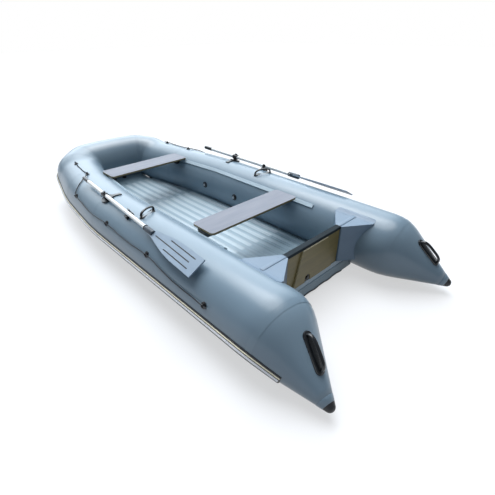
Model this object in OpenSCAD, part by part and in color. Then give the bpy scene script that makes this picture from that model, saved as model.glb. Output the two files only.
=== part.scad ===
// Inflatable rowing and motor boat with a ribbed air floor, board transom, two seats and two oars.
// X points forward, Y to port, Z up. Millimetres.

/* [Tubes] */
// Diameter of the air tubes
tube_d = 492; // [440:2:520]
// Tube axis to the centre line where the tubes run straight
axis_y = 652; // [645:1:690]
// Where the straight part of a tube ends and its tail cone begins
stern_x = -1560; // [-1600:5:-1520]
// First slight bend of the tube axis, along the boat
bend1_x = 350; // [300:10:450]
// Second slight bend of the tube axis, along the boat
bend2_x = 1100; // [1050:10:1150]
// Tube axis to the centre line at the second bend
bend2_y = 580; // [570:1:590]
// Start of the round bow corner, along the boat
corner_x = 1529; // [1500:1:1540]
// Tube axis to the centre line at the bow corner
corner_y = 488; // [480:1:496]
// Straight lead of the raised bow before its corner
bow_lead = 60; // [50:1:80]
// Radius of the tube's inner side round the bow corner
corner_in_r = 19; // [16:1:29]
// Rise of the tube axis between the second bend and the corner
corner_rise = 15; // [0:1:25]
// Upward tilt of the blunt bow, in degrees
nose_tilt = 14.5; // [10:0.5:18]
// Sweep of the bow panels beside the flat nose, in degrees
nose_sweep = 4; // [2:1:12]
// Half the width of the flat nose panel
nose_half = 110; // [80:5:140]

/* [Tails] */
// Middle of the tail tip, along the boat
tip_x = -2025; // [-2050:5:-2000]
// Middle of the tail tip, from the centre line
tip_y = 738; // [720:1:750]
// Height of the middle of the tail tip
tip_z = 81; // [70:1:100]
// Radius of the tail tip
tip_r = 30; // [24:1:36]
// Length of the moulded cap along the tail's axis
cap_len = 36; // [36:1:60]
// Middle of the tail handle, along the tail's axis from the tube's end
tail_handle_s = 272; // [260:2:290]
// Turn of the tail handle towards the inside, in degrees
tail_handle_turn = 10; // [0:1:20]
// Length of the tail handle
tail_handle_l = 206; // [190:2:220]

/* [Floor] */
// Diameter of a rib of the air floor
rib_d = 90; // [86:1:94]
// Spacing of the ribs
rib_pitch = 84; // [80:1:85]
// Ribs on each side of the middle one
ribs_side = 5; // [5:1:5]
// Height of the rib axes
rib_z = 62; // [58:1:66]
// Thickness of the web sheet that joins the ribs to the tubes
web_t = 72; // [60:1:76]
// Aft end of the floor
floor_aft_x = -1345; // [-1350:1:-1342]
// Forward end of the floor ribs
floor_fore_x = 1610; // [1560:5:1640]

/* [Transom] */
// Aft face of the transom board
transom_x = -1335; // [-1340:1:-1325]
// Thickness of the transom board
transom_t = 30; // [24:1:36]
// Height of the top of the board
transom_z1 = 452; // [430:1:465]
// Half the width of the motor pad at its top
pad_top_half = 142; // [120:1:160]
// Half the width of the motor pad at its bottom
pad_base_half = 222; // [190:1:230]
// Height of the motor pad's top
pad_z1 = 432; // [415:1:440]
// Height of the motor pad's bottom
pad_z0 = 154; // [152:1:200]
// Thickness of the motor pad
pad_t = 12; // [8:1:18]
// Thickness of the cap strip over the board's top edge
cap_t = 6; // [4:1:10]
// Height of the fabric strip that seals the floor to the board
seal_z1 = 150; // [140:1:160]
// Thickness of the sealing strip
seal_t = 5; // [4:1:8]
// Drain plug, distance from the centre line
drain_y = 70; // [40:1:110]
// Height of the drain plug
drain_z = 184; // [180:1:220]
// Radius of the drain plug's flange
drain_r = 24; // [18:1:30]
// Length of a transom holder along the tube
holder_l = 360; // [300:5:400]
// Distance of a holder's inner end from the centre line
holder_y = 300; // [290:1:330]
// Height of the top of a holder
holder_z1 = 455; // [430:1:460]

/* [Seats] */
// How far the front seat board reaches past the middle of its rails
front_seat_over = 24; // [12:1:26]
// How far the aft seat board reaches past the middle of its rails
aft_seat_over = -12; // [-20:1:-8]
// Width of a seat board
seat_w = 242; // [220:1:260]
// Thickness of a seat board
seat_t = 18; // [14:1:22]
// Height of a seat board's underside over the middle of the rails
seat_lift = 19; // [19:1:27]
// Corner radius of a seat board
seat_corner_r = 28; // [20:1:50]
// Middle of the front seat, along the boat
front_seat_x = 939; // [900:1:945]
// Middle of the aft seat, along the boat
aft_seat_x = -662; // [-700:1:-640]
// Position of the seat rails round the tube, in degrees inwards from its top
rail_turn = 43; // [40:1:47]
// Width of a seat rail
rail_w = 34; // [24:1:40]
// Thickness of a seat rail
rail_t = 10; // [6:1:12]
// Aft end of the seat rails
rail_aft_x = -945; // [-1000:5:-900]
// Forward end of the seat rails
rail_fore_x = 1080; // [1060:5:1090]
// Width of the slide bracket under a seat's end
bracket_w = 90; // [60:5:120]
// Depth of the slide bracket under a seat's end
bracket_h = 62; // [50:1:70]
// Running clearance of a slide bracket on its rail
slide_gap = 0.8; // [0.5:0.1:2]

/* [Oars] */
// Oarlock pin, along the boat
lock_x = 305; // [280:5:330]
// Position of the oarlock round the tube, in degrees outwards from its top
lock_turn = 18; // [16:1:22]
// Height of the oar's axis above the tube at the oarlock
oar_h = 44; // [44:1:52]
// Turn of the stowed oar from the boat's length, in degrees
oar_turn = 3.5; // [3:0.5:4]
// Dip of the stowed blade towards the tube, in degrees
oar_dip = 1.5; // [1:0.1:2]
// Oar shaft's diameter
shaft_d = 32; // [28:1:34]
// Oarlock pin to the grip's end
oar_in = 505; // [480:5:540]
// Oarlock pin to the blade's tip
oar_out = 1390; // [1300:5:1420]
// Length of the blade
blade_l = 600; // [520:5:640]
// Width of the blade
blade_w = 142; // [130:1:170]
// Thickness of the blade
blade_t = 10; // [8:1:14]
// Roll of the blade about the shaft, in degrees
blade_roll = 12; // [8:1:14]
// Length of the grip
grip_l = 120; // [100:5:140]
// Oarlock pin's diameter
pin_d = 20; // [16:1:24]
// Radial running clearance of the oarlock on its pin
pin_gap = 0.06; // [0.02:0.01:0.1]
// Oarlock pin to the middle of the oar clip
clip_s = 425; // [380:5:460]

/* [Fittings] */
// Width of the rub strake
strake_w = 56; // [44:1:64]
// Length of the rub strake on a tail cone, along the tail's axis from the tube's end
strake_tail = 270; // [200:5:300]
// How far the rub strake stands out from the tube
strake_t = 13; // [10:1:16]
// Drop of the rub strake's middle below the tube axis
strake_drop = 26; // [10:1:34]
// Carry handle, along the boat
carry_x = -200; // [-240:5:-160]
// Turn of the carry handle's middle from the tube's top, in degrees
carry_turn = -3; // [-6:1:6]
// Span of a carry handle
carry_span = 150; // [130:2:160]
// Radius of a handle's grip bar
bar_r = 12; // [9:0.5:13]
// Radius of an eyelet's base
eye_r = 22; // [18:1:28]
// Radius of the hole in an eyelet
eye_hole_r = 6; // [5:0.5:7]
// Diameter of the lifeline
rope_d = 8; // [7:0.5:9]
// Radius of an air valve's flange
valve_r = 32; // [26:1:38]
// Radius of the bow tow eye's hole
tow_r = 9; // [7:0.5:11]

/* [Hidden] */
$fn = 64;
// Clearance between glued or seated pieces
gap = 0.3;
// Overlength that a mitre cuts away, and a size beyond any piece
over = 90;
big = 700;
tube_r = tube_d / 2;
corner_r = tube_r + corner_in_r;
tow_eye_t = 14;
tow_h = 24;
tow_down = 58;
S0 = [stern_x, axis_y, tube_r];
AXIS = [S0, [bend1_x, axis_y, tube_r], [bend2_x, bend2_y, tube_r],
    [corner_x, corner_y, tube_r + corner_rise]];
RUNS = len(AXIS) - 1;
function run_v(i) = AXIS[i + 1] - AXIS[i];
function run_l(i) = norm(run_v(i));
function heading(i) = atan2(run_v(i).y, run_v(i).x);
function climb(i) = asin(run_v(i).z / run_l(i));
function run_at(x) = x < bend1_x ? 0 : x < bend2_x ? 1 : 2;
function axis_at(x) = lookup(x, [for (p = AXIS) [p.x, p.y]]);
function axis_z(x) = lookup(x, [for (p = AXIS) [p.x, p.z]]);
function skin_n(x, turn) = let (i = run_at(x), h = heading(i), a = -sin(climb(i)) * cos(turn))
    [a * cos(h) - sin(turn) * sin(h), a * sin(h) + sin(turn) * cos(h), cos(climb(i)) * cos(turn)];
function on_skin_p(x, turn, h) = [x, axis_at(x), axis_z(x)] + (tube_r + h) * skin_n(x, turn);
last_heading = heading(RUNS - 1);
nose_heading = nose_sweep - 90;
arc_start = bow_lead * [cos(last_heading), sin(last_heading)];
arc_c = arc_start + corner_r * [sin(last_heading), -cos(last_heading)];
arc_end = arc_c + corner_r * [cos(nose_sweep), sin(nose_sweep)];
panel_l = (corner_y + arc_end.y - nose_half) / cos(nose_sweep);
panel_end = arc_end + panel_l * [sin(nose_sweep), -cos(nose_sweep)];
bow_dir = [cos(last_heading) * cos(nose_tilt), sin(last_heading), cos(last_heading) * sin(nose_tilt)];
DIRS = concat([for (i = [0:RUNS - 1]) run_v(i) / run_l(i)], [bow_dir]);
function unit(v) = v / norm(v);
tail_v = [tip_x, tip_y, tip_z] - S0;
tail_l = norm(tail_v);
tail_yaw = atan2(-tail_v.y, -tail_v.x);
tail_climb = asin(-tail_v.z / tail_l);
tail_a = asin((tube_r - tip_r) / tail_l);
seam_n = [-1, 0, 0] + tail_v / tail_l / cos(tail_a);
seam_p = S0 + seam_n * tube_r * tan(tail_a) / (seam_n * seam_n);
cone_s1 = tail_l + tip_r * sin(tail_a);
function cone_r(s) = (tube_r - s * sin(tail_a)) / cos(tail_a);
rib_y_max = ribs_side * rib_pitch;
transom_fore_x = transom_x + transom_t;
transom_z0 = rib_z + rib_d / 2 + gap;
oar_root = oar_out - blade_l;
front_seat_half = axis_at(front_seat_x) - (tube_r + rail_t) * sin(rail_turn) + front_seat_over;
aft_seat_half = axis_at(aft_seat_x) - (tube_r + rail_t) * sin(rail_turn) + aft_seat_over;
seat_z = tube_r + (tube_r + rail_t) * cos(rail_turn) + seat_lift;
// Outline of an oar blade: share of its length from the root, share of its half width
BLADE = [[0, 0.32], [0.1, 0.38], [0.22, 0.56], [0.34, 0.76], [0.46, 0.91], [0.6, 0.99], [0.7, 1], [1, 1]];
// Grooves of a blade: from and to along its length, place across its half width
GROOVES = [[0.42, 0.9, -0.55], [0.16, 0.86, 0], [0.42, 0.9, 0.55]];
// Lifeline eyelets: place along the boat, turn round the tube from its top
EYES = [[1400, 12], [1010, 5], [808, 58], [90, 58], [-545, 60], [-1215, 70]];
EYE_X = 0;
EYE_TURN = 1;
eye_h = 13;
// Lifeline route: place along the boat, turn round the tube from its top, height over the skin
ROPE = [[1440, 12, 13], [1400, 12, 13], [1360, 12, 12], [1300, 11, 8], [1220, 9, 7], [1140, 7, 7],
    [1090, 6, 8], [1050, 5, 12], [1010, 5, 13], [975, 7, 13], [945, 14, 9], [915, 24, 7], [885, 36, 7],
    [860, 47, 8], [835, 55, 12], [808, 58, 13], [770, 58, 12], [700, 59, 8], [600, 60, 7], [450, 61, 7],
    [370, 60, 9], [330, 60, 9], [260, 60, 7], [190, 59, 8], [130, 58, 12], [90, 58, 13], [50, 58, 12],
    [-20, 59, 8], [-120, 61, 7], [-230, 62, 7], [-340, 62, 7], [-440, 61, 8], [-505, 60, 12],
    [-545, 60, 13], [-585, 60, 12], [-650, 62, 8], [-760, 66, 7], [-880, 69, 7], [-1000, 70, 7],
    [-1110, 70, 8], [-1175, 70, 12], [-1215, 70, 13], [-1250, 70, 13]];
// Air valves on the inner wall: place along the boat, turn round the tube from its top
VALVES = [[458, -86], [-32, -88]];

hull_grey = [0.42, 0.53, 0.64];
pale_grey = [0.66, 0.76, 0.82];
black = [0.1, 0.1, 0.11];
ply = [0.45, 0.4, 0.27];
seat_grey = [0.62, 0.62, 0.7];
white = [0.93, 0.93, 0.93];

// Frame of one straight run of the tube axis, X along it
module on_run(i) {
    translate(AXIS[i]) rotate([0, -climb(i), heading(i)]) children();
}

// Frame of the raised bow, X forward along its tilt
module on_bow() {
    translate(AXIS[RUNS]) rotate([0, -nose_tilt, 0]) children();
}

// Frame of a tail cone, its axis along -X
module on_tail() {
    translate(S0) rotate([0, -tail_climb, tail_yaw]) children();
}

// Frame on the tube's skin, Z outwards; turn is measured outwards from the tube's top
module on_skin(x, turn) {
    i = run_at(x);
    translate([x, axis_at(x), axis_z(x)])
        rotate([0, -climb(i), heading(i)]) rotate([-turn, 0, 0]) translate([0, 0, tube_r]) children();
}

// What a fitting leaves free for the skin under it
module skin_cut(l) {
    translate([-l / 2, 0, -tube_r]) rotate([0, 90, 0]) cylinder(h = l, r = tube_r + gap, $fn = 240);
}

module starboard() {
    mirror([0, 1, 0]) children();
}

// Everything on one side of the seam's mitre plane at joint k; side 1 is forward of it
module past_mitre(k, side) {
    n = unit(DIRS[k - 1] + DIRS[k]);
    translate(AXIS[k]) rotate([0, -asin(n.z), atan2(n.y, n.x)])
        translate([side > 0 ? -gap / 2 : gap / 2 - big, -big, -big]) cube([big, 2 * big, 2 * big]);
}

// The same for the seam between a tube and its tail cone; side 1 is aft of it
module past_tail_seam(side) {
    n = unit(seam_n);
    translate(seam_p) rotate([0, -asin(n.z), atan2(n.y, n.x)])
        translate([side > 0 ? -gap / 2 : gap / 2 - big, -big, -big]) cube([big, 2 * big, 2 * big]);
}

// The same for the seam beside the flat nose, in the frame of the bow
module past_nose_mitre(side) {
    translate(panel_end) rotate([0, 0, (nose_heading - 90) / 2])
        translate([side > 0 ? -gap / 2 : gap / 2 - big, -big, -big]) cube([big, 2 * big, 2 * big]);
}

// Sweeps a section, X outwards and Y up from the tube's axis, along the side and round the bow corner
module sweep_side() {
    for (i = [0:RUNS - 1]) difference() {
        on_run(i) translate([-2 * over, 0, 0]) rotate([90, 0, 90])
            linear_extrude(run_l(i) + 3 * over) children();
        if (i > 0) past_mitre(i, -1);
        else past_tail_seam(1);
        past_mitre(i + 1, 1);
    }
    difference() {
        on_bow() translate(arc_start) rotate([90, 0, last_heading + 90]) translate([0, 0, -bow_lead - over])
            linear_extrude(bow_lead + over - gap) children();
        past_mitre(RUNS, -1);
    }
    on_bow() translate(arc_c) rotate([0, 0, nose_sweep])
        rotate_extrude(angle = last_heading - nose_heading) translate([corner_r, 0]) children();
}

// Sweeps a section along one swept bow panel, from a given distance after the corner
module sweep_panel(start) {
    on_bow() difference() {
        translate(arc_end) rotate([90, 0, nose_sweep]) translate([0, 0, start])
            linear_extrude(panel_l + over - start) children();
        past_nose_mitre(1);
    }
}

// Sweeps a section along the flat nose from its port mitre to a given distance past the mitre
module sweep_nose(l) {
    difference() {
        on_bow() translate(panel_end + [0, over]) rotate([90, 0, 0]) linear_extrude(l + over) children();
        on_bow() past_nose_mitre(-1);
        if (l > nose_half) starboard() on_bow() past_nose_mitre(-1);
    }
}

// Room that the port bow corner takes up, with a little more clearance than beside it
module corner_room() {
    on_bow() translate(arc_c) rotate([0, 0, nose_sweep]) rotate_extrude(angle = last_heading - nose_heading)
        translate([corner_r, 0]) circle(r = tube_r + 3 * gap);
}

// Room that both tubes take up, with the clearance that glued pieces keep
module tube_room() {
    for (side = [0, 1]) mirror([0, side, 0]) {
        for (i = [0:RUNS - 1]) on_run(i) translate([-over, 0, 0]) rotate([0, 90, 0])
            cylinder(h = run_l(i) + 2 * over, r = tube_r + gap);
        on_bow() translate([-over, 0, 0]) rotate([0, 90, last_heading])
            cylinder(h = bow_lead + 2 * over, r = tube_r + gap);
        on_bow() translate(arc_end) rotate([90, 0, nose_sweep])
            cylinder(h = panel_l + over, r = tube_r + gap, $fn = 160);
        on_bow() translate(panel_end + [0, over]) rotate([90, 0, 0])
            cylinder(h = nose_half + over, r = tube_r + gap, $fn = 160);
    }
}

module half_tube() {
    sweep_side() circle(r = tube_r);
    difference() {
        on_tail() translate([over, 0, 0]) rotate([0, -90, 0])
            cylinder(h = tail_l - cap_len + over, r1 = cone_r(-over), r2 = cone_r(tail_l - cap_len));
        past_tail_seam(-1);
    }
}

// Bow piece between the two corners, with its flat nose and swept panels
module bow_tube() {
    color(hull_grey) {
        for (side = [0, 1]) mirror([0, side, 0]) sweep_panel(gap) circle(r = tube_r);
        sweep_nose(2 * nose_half + over) circle(r = tube_r);
    }
}

module half_tail_cap() {
    s = tail_l - cap_len + gap;
    on_tail() {
        translate([-s, 0, 0]) rotate([0, -90, 0])
            cylinder(h = cone_s1 - s, r1 = cone_r(s) + 1, r2 = cone_r(cone_s1) + 1);
        translate([-tail_l, 0, 0]) sphere(r = tip_r + 1);
    }
}

module half_tail_handle() {
    base_r = 29;
    base_t = 8;
    bar_z = 50;
    depth = 20;
    half = tail_handle_l / 2 - base_r;
    on_tail() difference() {
        rotate([tail_handle_turn, 0, 0]) translate([-tail_handle_s, 0, cone_r(tail_handle_s)])
            rotate([0, -tail_a, 0]) {
                translate([0, 0, -depth]) linear_extrude(depth + base_t) {
                    for (e = [-1, 1]) translate([e * half, 0]) circle(r = base_r);
                    square([2 * half, 2 * base_r], center = true);
                }
                for (e = [-1, 1]) translate([e * half, 0, 0])
                    cylinder(h = bar_z + bar_r + 2, r = bar_r + 5);
                translate([-half, 0, bar_z]) rotate([0, 90, 0]) cylinder(h = 2 * half, r = bar_r);
            }
        rotate([0, -90, 0]) cylinder(h = tail_l, r1 = cone_r(0) + gap, r2 = cone_r(tail_l) + gap);
    }
}

module half_carry_handle() {
    post_z = 44;
    on_skin(carry_x, carry_turn) difference() {
        union() {
            for (e = [-1, 1]) translate([0, e * carry_span / 2, -20]) {
                cylinder(h = 27, r = bar_r + 12);
                cylinder(h = 20 + post_z, r = bar_r);
                translate([0, 0, 20 + post_z]) sphere(r = bar_r);
            }
            translate([0, carry_span / 2, post_z]) rotate([90, 0, 0]) cylinder(h = carry_span, r = bar_r);
        }
        skin_cut(200);
    }
}

// Outline of the rub strake from the skin outwards, X outwards
module strake_face() {
    polygon([[-12, -strake_w / 2], [strake_t * 0.6, -strake_w / 2], [strake_t, -strake_w / 4],
        [strake_t, strake_w / 4], [strake_t * 0.6, strake_w / 2], [-12, strake_w / 2]]);
}

// Cross-section of the rub strake about the tube's axis
module strake_2d() {
    difference() {
        translate([tube_r, -strake_drop]) strake_face();
        circle(r = tube_r + gap, $fn = 240);
    }
}

module half_rub_strake() {
    sweep_side() strake_2d();
    sweep_panel(gap) strake_2d();
    sweep_nose(nose_half - gap / 2) strake_2d();
    difference() {
        on_tail() rotate([-asin(strake_drop / tube_r), 0, 0]) translate([0, cone_r(0), 0])
            rotate([0, 0, tail_a]) translate([-strake_tail / cos(tail_a), 0, 0]) rotate([90, 0, 90])
            linear_extrude(strake_tail / cos(tail_a) + 2 * over) strake_face();
        on_tail() translate([over, 0, 0]) rotate([0, -90, 0])
            cylinder(h = tail_l + over, r1 = cone_r(-over) + gap, r2 = cone_r(tail_l) + gap, $fn = 240);
        past_tail_seam(-1);
    }
}

module air_floor() {
    web_over = 108;
    bow_in = 60;
    side = rib_y_max + web_over;
    web_z = rib_z - web_t / 2;
    color(pale_grey) difference() {
        union() {
            for (k = [-ribs_side:ribs_side]) translate([floor_aft_x, k * rib_pitch, rib_z]) rotate([0, 90, 0])
                cylinder(h = floor_fore_x - floor_aft_x, d = rib_d);
            translate([floor_aft_x, -side, web_z]) cube([floor_fore_x - floor_aft_x, 2 * side, web_t]);
            translate([floor_aft_x, -side, rib_z - rib_d / 2]) cube([8, 2 * side, rib_d]);
            translate([0, -corner_y, 0]) on_bow() translate([-over, bow_in - corner_y, web_z - tube_r])
                cube([over + panel_end.x, 2 * (corner_y - bow_in), web_t]);
        }
        tube_room();
        corner_room();
        starboard() corner_room();
    }
}

module transom_board() {
    color(ply) difference() {
        translate([transom_x, -axis_y + 60, transom_z0])
            cube([transom_t, 2 * (axis_y - 60), transom_z1 - transom_z0]);
        for (side = [0, 1]) mirror([0, side, 0]) on_run(0) rotate([0, 90, 0])
            cylinder(h = run_l(0), r = tube_r + gap);
    }
}

module transom_cap() {
    half = holder_y - 2;
    lip = 16;
    end = axis_y - sqrt(pow(tube_r, 2) - pow(transom_z1 - tube_r, 2)) - 2;
    color(hull_grey) {
        difference() {
            translate([transom_x - cap_t, -half, transom_z1 - lip])
                cube([transom_t + 2 * cap_t, 2 * half, lip + cap_t]);
            translate([transom_x - gap, -half - 1, 0])
                cube([transom_t + 2 * gap, 2 * half + 2, transom_z1 + gap]);
        }
        for (side = [0, 1]) mirror([0, side, 0]) translate([transom_x, half - 1, transom_z1 + gap])
            cube([transom_t, end - half + 1, cap_t - gap]);
    }
}

module motor_pad() {
    room = drain_r + 5;
    color(ply) difference() {
        translate([transom_x - gap, 0, 0]) rotate([90, 0, -90]) linear_extrude(pad_t)
            polygon([[-pad_base_half, pad_z0], [pad_base_half, pad_z0], [pad_top_half, pad_z1],
                [-pad_top_half, pad_z1]]);
        translate([transom_x - pad_t - 1, drain_y, drain_z]) rotate([0, 90, 0])
            cylinder(h = pad_t + 2, r = room);
        translate([transom_x - pad_t - 1, drain_y - room, 0]) cube([pad_t + 2, 2 * room, drain_z]);
    }
}

module floor_seal() {
    color(pale_grey) difference() {
        translate([transom_x - gap - seal_t, -axis_y + 100, transom_z0])
            cube([seal_t, 2 * (axis_y - 100), seal_z1 - transom_z0]);
        for (side = [0, 1]) mirror([0, side, 0]) on_run(0) rotate([0, 90, 0])
            cylinder(h = run_l(0), r = tube_r + gap);
    }
}

module drain_plug() {
    color(black) translate([transom_x - gap, drain_y, drain_z]) rotate([0, -90, 0]) {
        cylinder(h = 6, r = drain_r);
        cylinder(h = 16, r = drain_r * 0.6);
    }
}

module half_transom_holder() {
    end_in = 150;
    foot_t = 12;
    back_in = 110;
    for (e = [-1, 1]) difference() {
        translate([0, 0, seal_z1 + 2]) linear_extrude(holder_z1 - seal_z1 - 2) {
            x0 = e < 0 ? transom_x - gap : transom_fore_x + gap;
            polygon([[x0, holder_y], [x0 + e * foot_t, holder_y], [x0 + e * holder_l / 2, axis_y - back_in],
                [x0 + e * holder_l / 2, axis_y], [x0, axis_y]]);
        }
        on_run(0) rotate([0, 90, 0]) cylinder(h = run_l(0), r = tube_r + gap);
        translate([stern_x, axis_y - end_in, 0]) cube([big, end_in + tube_r, big]);
    }
}

module half_seat_rail() {
    for (i = [0:1]) {
        x0 = i == 0 ? rail_aft_x : bend1_x + 4;
        x1 = i == 0 ? bend1_x - 4 : rail_fore_x;
        on_skin((x0 + x1) / 2, -rail_turn) difference() {
            translate([-(x1 - x0) / 2, -rail_w / 2, -4]) cube([x1 - x0, rail_w, rail_t + 4]);
            skin_cut(x1 - x0 + 10);
        }
    }
}

module seat_board(x, half) {
    translate([x, 0, seat_z]) linear_extrude(seat_t) {
        for (s = [-1, 1]) for (e = [-1, 1])
            translate([s * (seat_w / 2 - seat_corner_r), e * (half - seat_corner_r)])
                circle(r = seat_corner_r);
        square([seat_w - 2 * seat_corner_r, 2 * half], center = true);
        square([seat_w, 2 * (half - seat_corner_r)], center = true);
    }
}

// Slide brackets under a seat's ends, each cut to ride on its rail and reaching onto it
module seat_brackets(x, half, reach) {
    end_in = 2;
    on_rail = 4;
    for (side = [0, 1]) mirror([0, side, 0]) difference() {
        translate([x, half - min(end_in, reach + on_rail), seat_z - gap]) rotate([90, 0, 0]) linear_extrude(76)
            polygon([[-bracket_w / 2, 0], [bracket_w / 2, 0], [bracket_w / 4, -bracket_h],
                [-bracket_w / 4, -bracket_h]]);
        on_run(run_at(x)) translate([-200, 0, 0]) rotate([0, 90, 0])
            cylinder(h = run_l(run_at(x)) + 400, r = tube_r + rail_t + slide_gap);
    }
}

// Frame of the port oarlock on the skin, X along the stowed oar
module on_lock() {
    translate([lock_x, axis_at(lock_x), tube_r]) rotate([0, 0, -oar_turn]) rotate([-lock_turn, 0, 0])
        translate([0, 0, tube_r]) children();
}

// Frame of the port oar's axis at the oarlock
module on_oar() {
    on_lock() translate([0, 0, oar_h]) rotate([0, -oar_dip, 0]) children();
}

module half_oar_shaft() {
    on_oar() translate([-oar_root - 40, 0, 0]) rotate([0, 90, 0])
        cylinder(h = oar_root + 40 + oar_in - grip_l, d = shaft_d);
}

module half_oar_grip() {
    on_oar() translate([oar_in - grip_l + gap, 0, 0]) rotate([0, 90, 0]) {
        cylinder(h = grip_l - shaft_d / 2, d = shaft_d + 4);
        translate([0, 0, grip_l - shaft_d / 2]) sphere(d = shaft_d + 4);
    }
}

module half_oar_blade() {
    neck = 22;
    groove_w = 8;
    groove_t = 2.5;
    on_oar() translate([-oar_root, 0, 0]) rotate([-blade_roll, 0, 0]) difference() {
        union() {
            translate([0, 0, -blade_t / 2]) linear_extrude(blade_t)
                polygon(concat([for (q = BLADE) [-q[0] * blade_l, q[1] * blade_w / 2]],
                    [for (k = [len(BLADE) - 1:-1:0]) [-BLADE[k][0] * blade_l, -BLADE[k][1] * blade_w / 2]]));
            translate([-60, 0, 0]) rotate([0, 90, 0]) cylinder(h = 100, r = neck);
        }
        translate([-40 - gap, 0, 0]) rotate([0, 90, 0]) cylinder(h = 200, d = shaft_d + 2 * gap);
        for (q = GROOVES) for (z = [blade_t / 2 - groove_t, -blade_t])
            translate([-q[1] * blade_l, q[2] * blade_w / 2 - groove_w / 2, z])
                cube([(q[1] - q[0]) * blade_l, groove_w, blade_t / 2 + groove_t]);
    }
}

module half_oarlock_base() {
    arm_l = 120;
    arm_w = 34;
    arm_t = 10;
    difference() {
        union() {
            on_lock() {
                translate([0, 0, -24]) cylinder(h = 36, r = 52);
                cylinder(h = 24, d = pin_d);
            }
            intersection() {
                on_lock() translate([-arm_w / 2, -arm_l, -60]) cube([arm_w, arm_l, 90]);
                on_run(0) translate([run_l(0) - 300, 0, 0]) rotate([0, 90, 0])
                    cylinder(h = 600, r = tube_r + arm_t, $fn = 240);
            }
        }
        for (i = [0, 1]) on_run(i) translate([-over, 0, 0]) rotate([0, 90, 0])
            cylinder(h = run_l(i) + 2 * over, r = tube_r + gap, $fn = 240);
    }
}

module half_oarlock() {
    difference() {
        union() {
            on_lock() {
                translate([0, 0, 12 + gap]) cylinder(h = oar_h - 12, r = 20);
                translate([0, 0, oar_h]) cylinder(h = shaft_d / 2 + 18, r = 14);
            }
            on_oar() translate([-28, 0, 0]) rotate([0, 90, 0]) cylinder(h = 56, d = shaft_d + 16);
        }
        on_lock() cylinder(h = 24 + gap, d = pin_d + 2 * pin_gap);
        on_oar() translate([-60, 0, 0]) rotate([0, 90, 0]) cylinder(h = 120, d = shaft_d + 2 * gap);
    }
}

module half_oar_clip() {
    r = shaft_d / 2 + 2;
    difference() {
        on_oar() translate([-clip_s, 0, 0]) {
            translate([-20, -36, -90]) cube([40, 66, 90 - r - 1]);
            translate([-15, -r - 8, -r - 2]) cube([30, 8, 2 * r + 2]);
        }
        on_oar() translate([-clip_s - 50, 0, 0]) rotate([0, 90, 0]) cylinder(h = 100, r = r);
        on_run(0) rotate([0, 90, 0]) cylinder(h = run_l(0), r = tube_r + gap);
    }
}

module half_eyelets() {
    for (e = EYES) on_skin(e[EYE_X], e[EYE_TURN]) difference() {
        union() {
            translate([0, 0, -6]) cylinder(h = 11, r = eye_r);
            translate([0, 0, eye_h]) rotate([0, 90, 0]) cylinder(h = 8, r = eye_hole_r + 5, center = true);
            translate([-4, -eye_hole_r - 5, 2]) cube([8, 2 * eye_hole_r + 10, eye_h - 2]);
        }
        translate([0, 0, eye_h]) rotate([0, 90, 0]) cylinder(h = 40, r = eye_hole_r, center = true);
        skin_cut(100);
    }
}

// Lifeline swept as one closed tube along its route
module half_lifeline() {
    sides = 8;
    n = len(ROPE);
    pts = [for (q = ROPE) on_skin_p(q[0], q[1], q[2])];
    out = [for (q = ROPE) skin_n(q[0], q[1])];
    function along(k) = let (v = pts[min(k + 1, n - 1)] - pts[max(k - 1, 0)]) v / norm(v);
    function across(k) = let (v = cross(along(k), out[k])) v / norm(v);
    function square_to(k) = cross(across(k), along(k));
    rings = [for (k = [0:n - 1]) for (a = [0:sides - 1])
        pts[k] + rope_d / 2 * (cos(360 * a / sides) * square_to(k) + sin(360 * a / sides) * across(k))];
    walls = [for (k = [0:n - 2]) for (a = [0:sides - 1])
        let (b = (a + 1) % sides) [k * sides + a, k * sides + b, (k + 1) * sides + b, (k + 1) * sides + a]];
    ends = [[for (a = [sides - 1:-1:0]) a], [for (a = [0:sides - 1]) (n - 1) * sides + a]];
    polyhedron(rings, concat(walls, ends));
}

module half_valves() {
    for (v = VALVES) on_skin(v[EYE_X], v[EYE_TURN]) difference() {
        union() {
            translate([0, 0, -6]) cylinder(h = 11, r = valve_r);
            cylinder(h = 14, r = valve_r * 0.62);
        }
        skin_cut(120);
    }
}

// Frame on the nose's skin, Z forward and down
module on_nose(down) {
    on_bow() translate([panel_end.x, -corner_y, 0]) rotate([0, 90 + down, 0])
        translate([0, 0, tube_r]) children();
}

module bow_tow_eye() {
    color(black) on_nose(tow_down) difference() {
        union() {
            translate([0, 0, -10]) cylinder(h = 16, r = 42);
            rotate([90, 0, 0]) translate([0, tow_h, 0]) cylinder(h = tow_eye_t, r = tow_r + 9, center = true);
            translate([-tow_r - 9, -tow_eye_t / 2, 0]) cube([2 * tow_r + 18, tow_eye_t, tow_h]);
        }
        rotate([90, 0, 0]) translate([0, tow_h, 0]) cylinder(h = 40, r = tow_r, center = true);
        translate([0, 0, -tube_r]) rotate([90, 0, 0])
            cylinder(h = 200, r = tube_r + gap, center = true, $fn = 240);
    }
}

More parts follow.
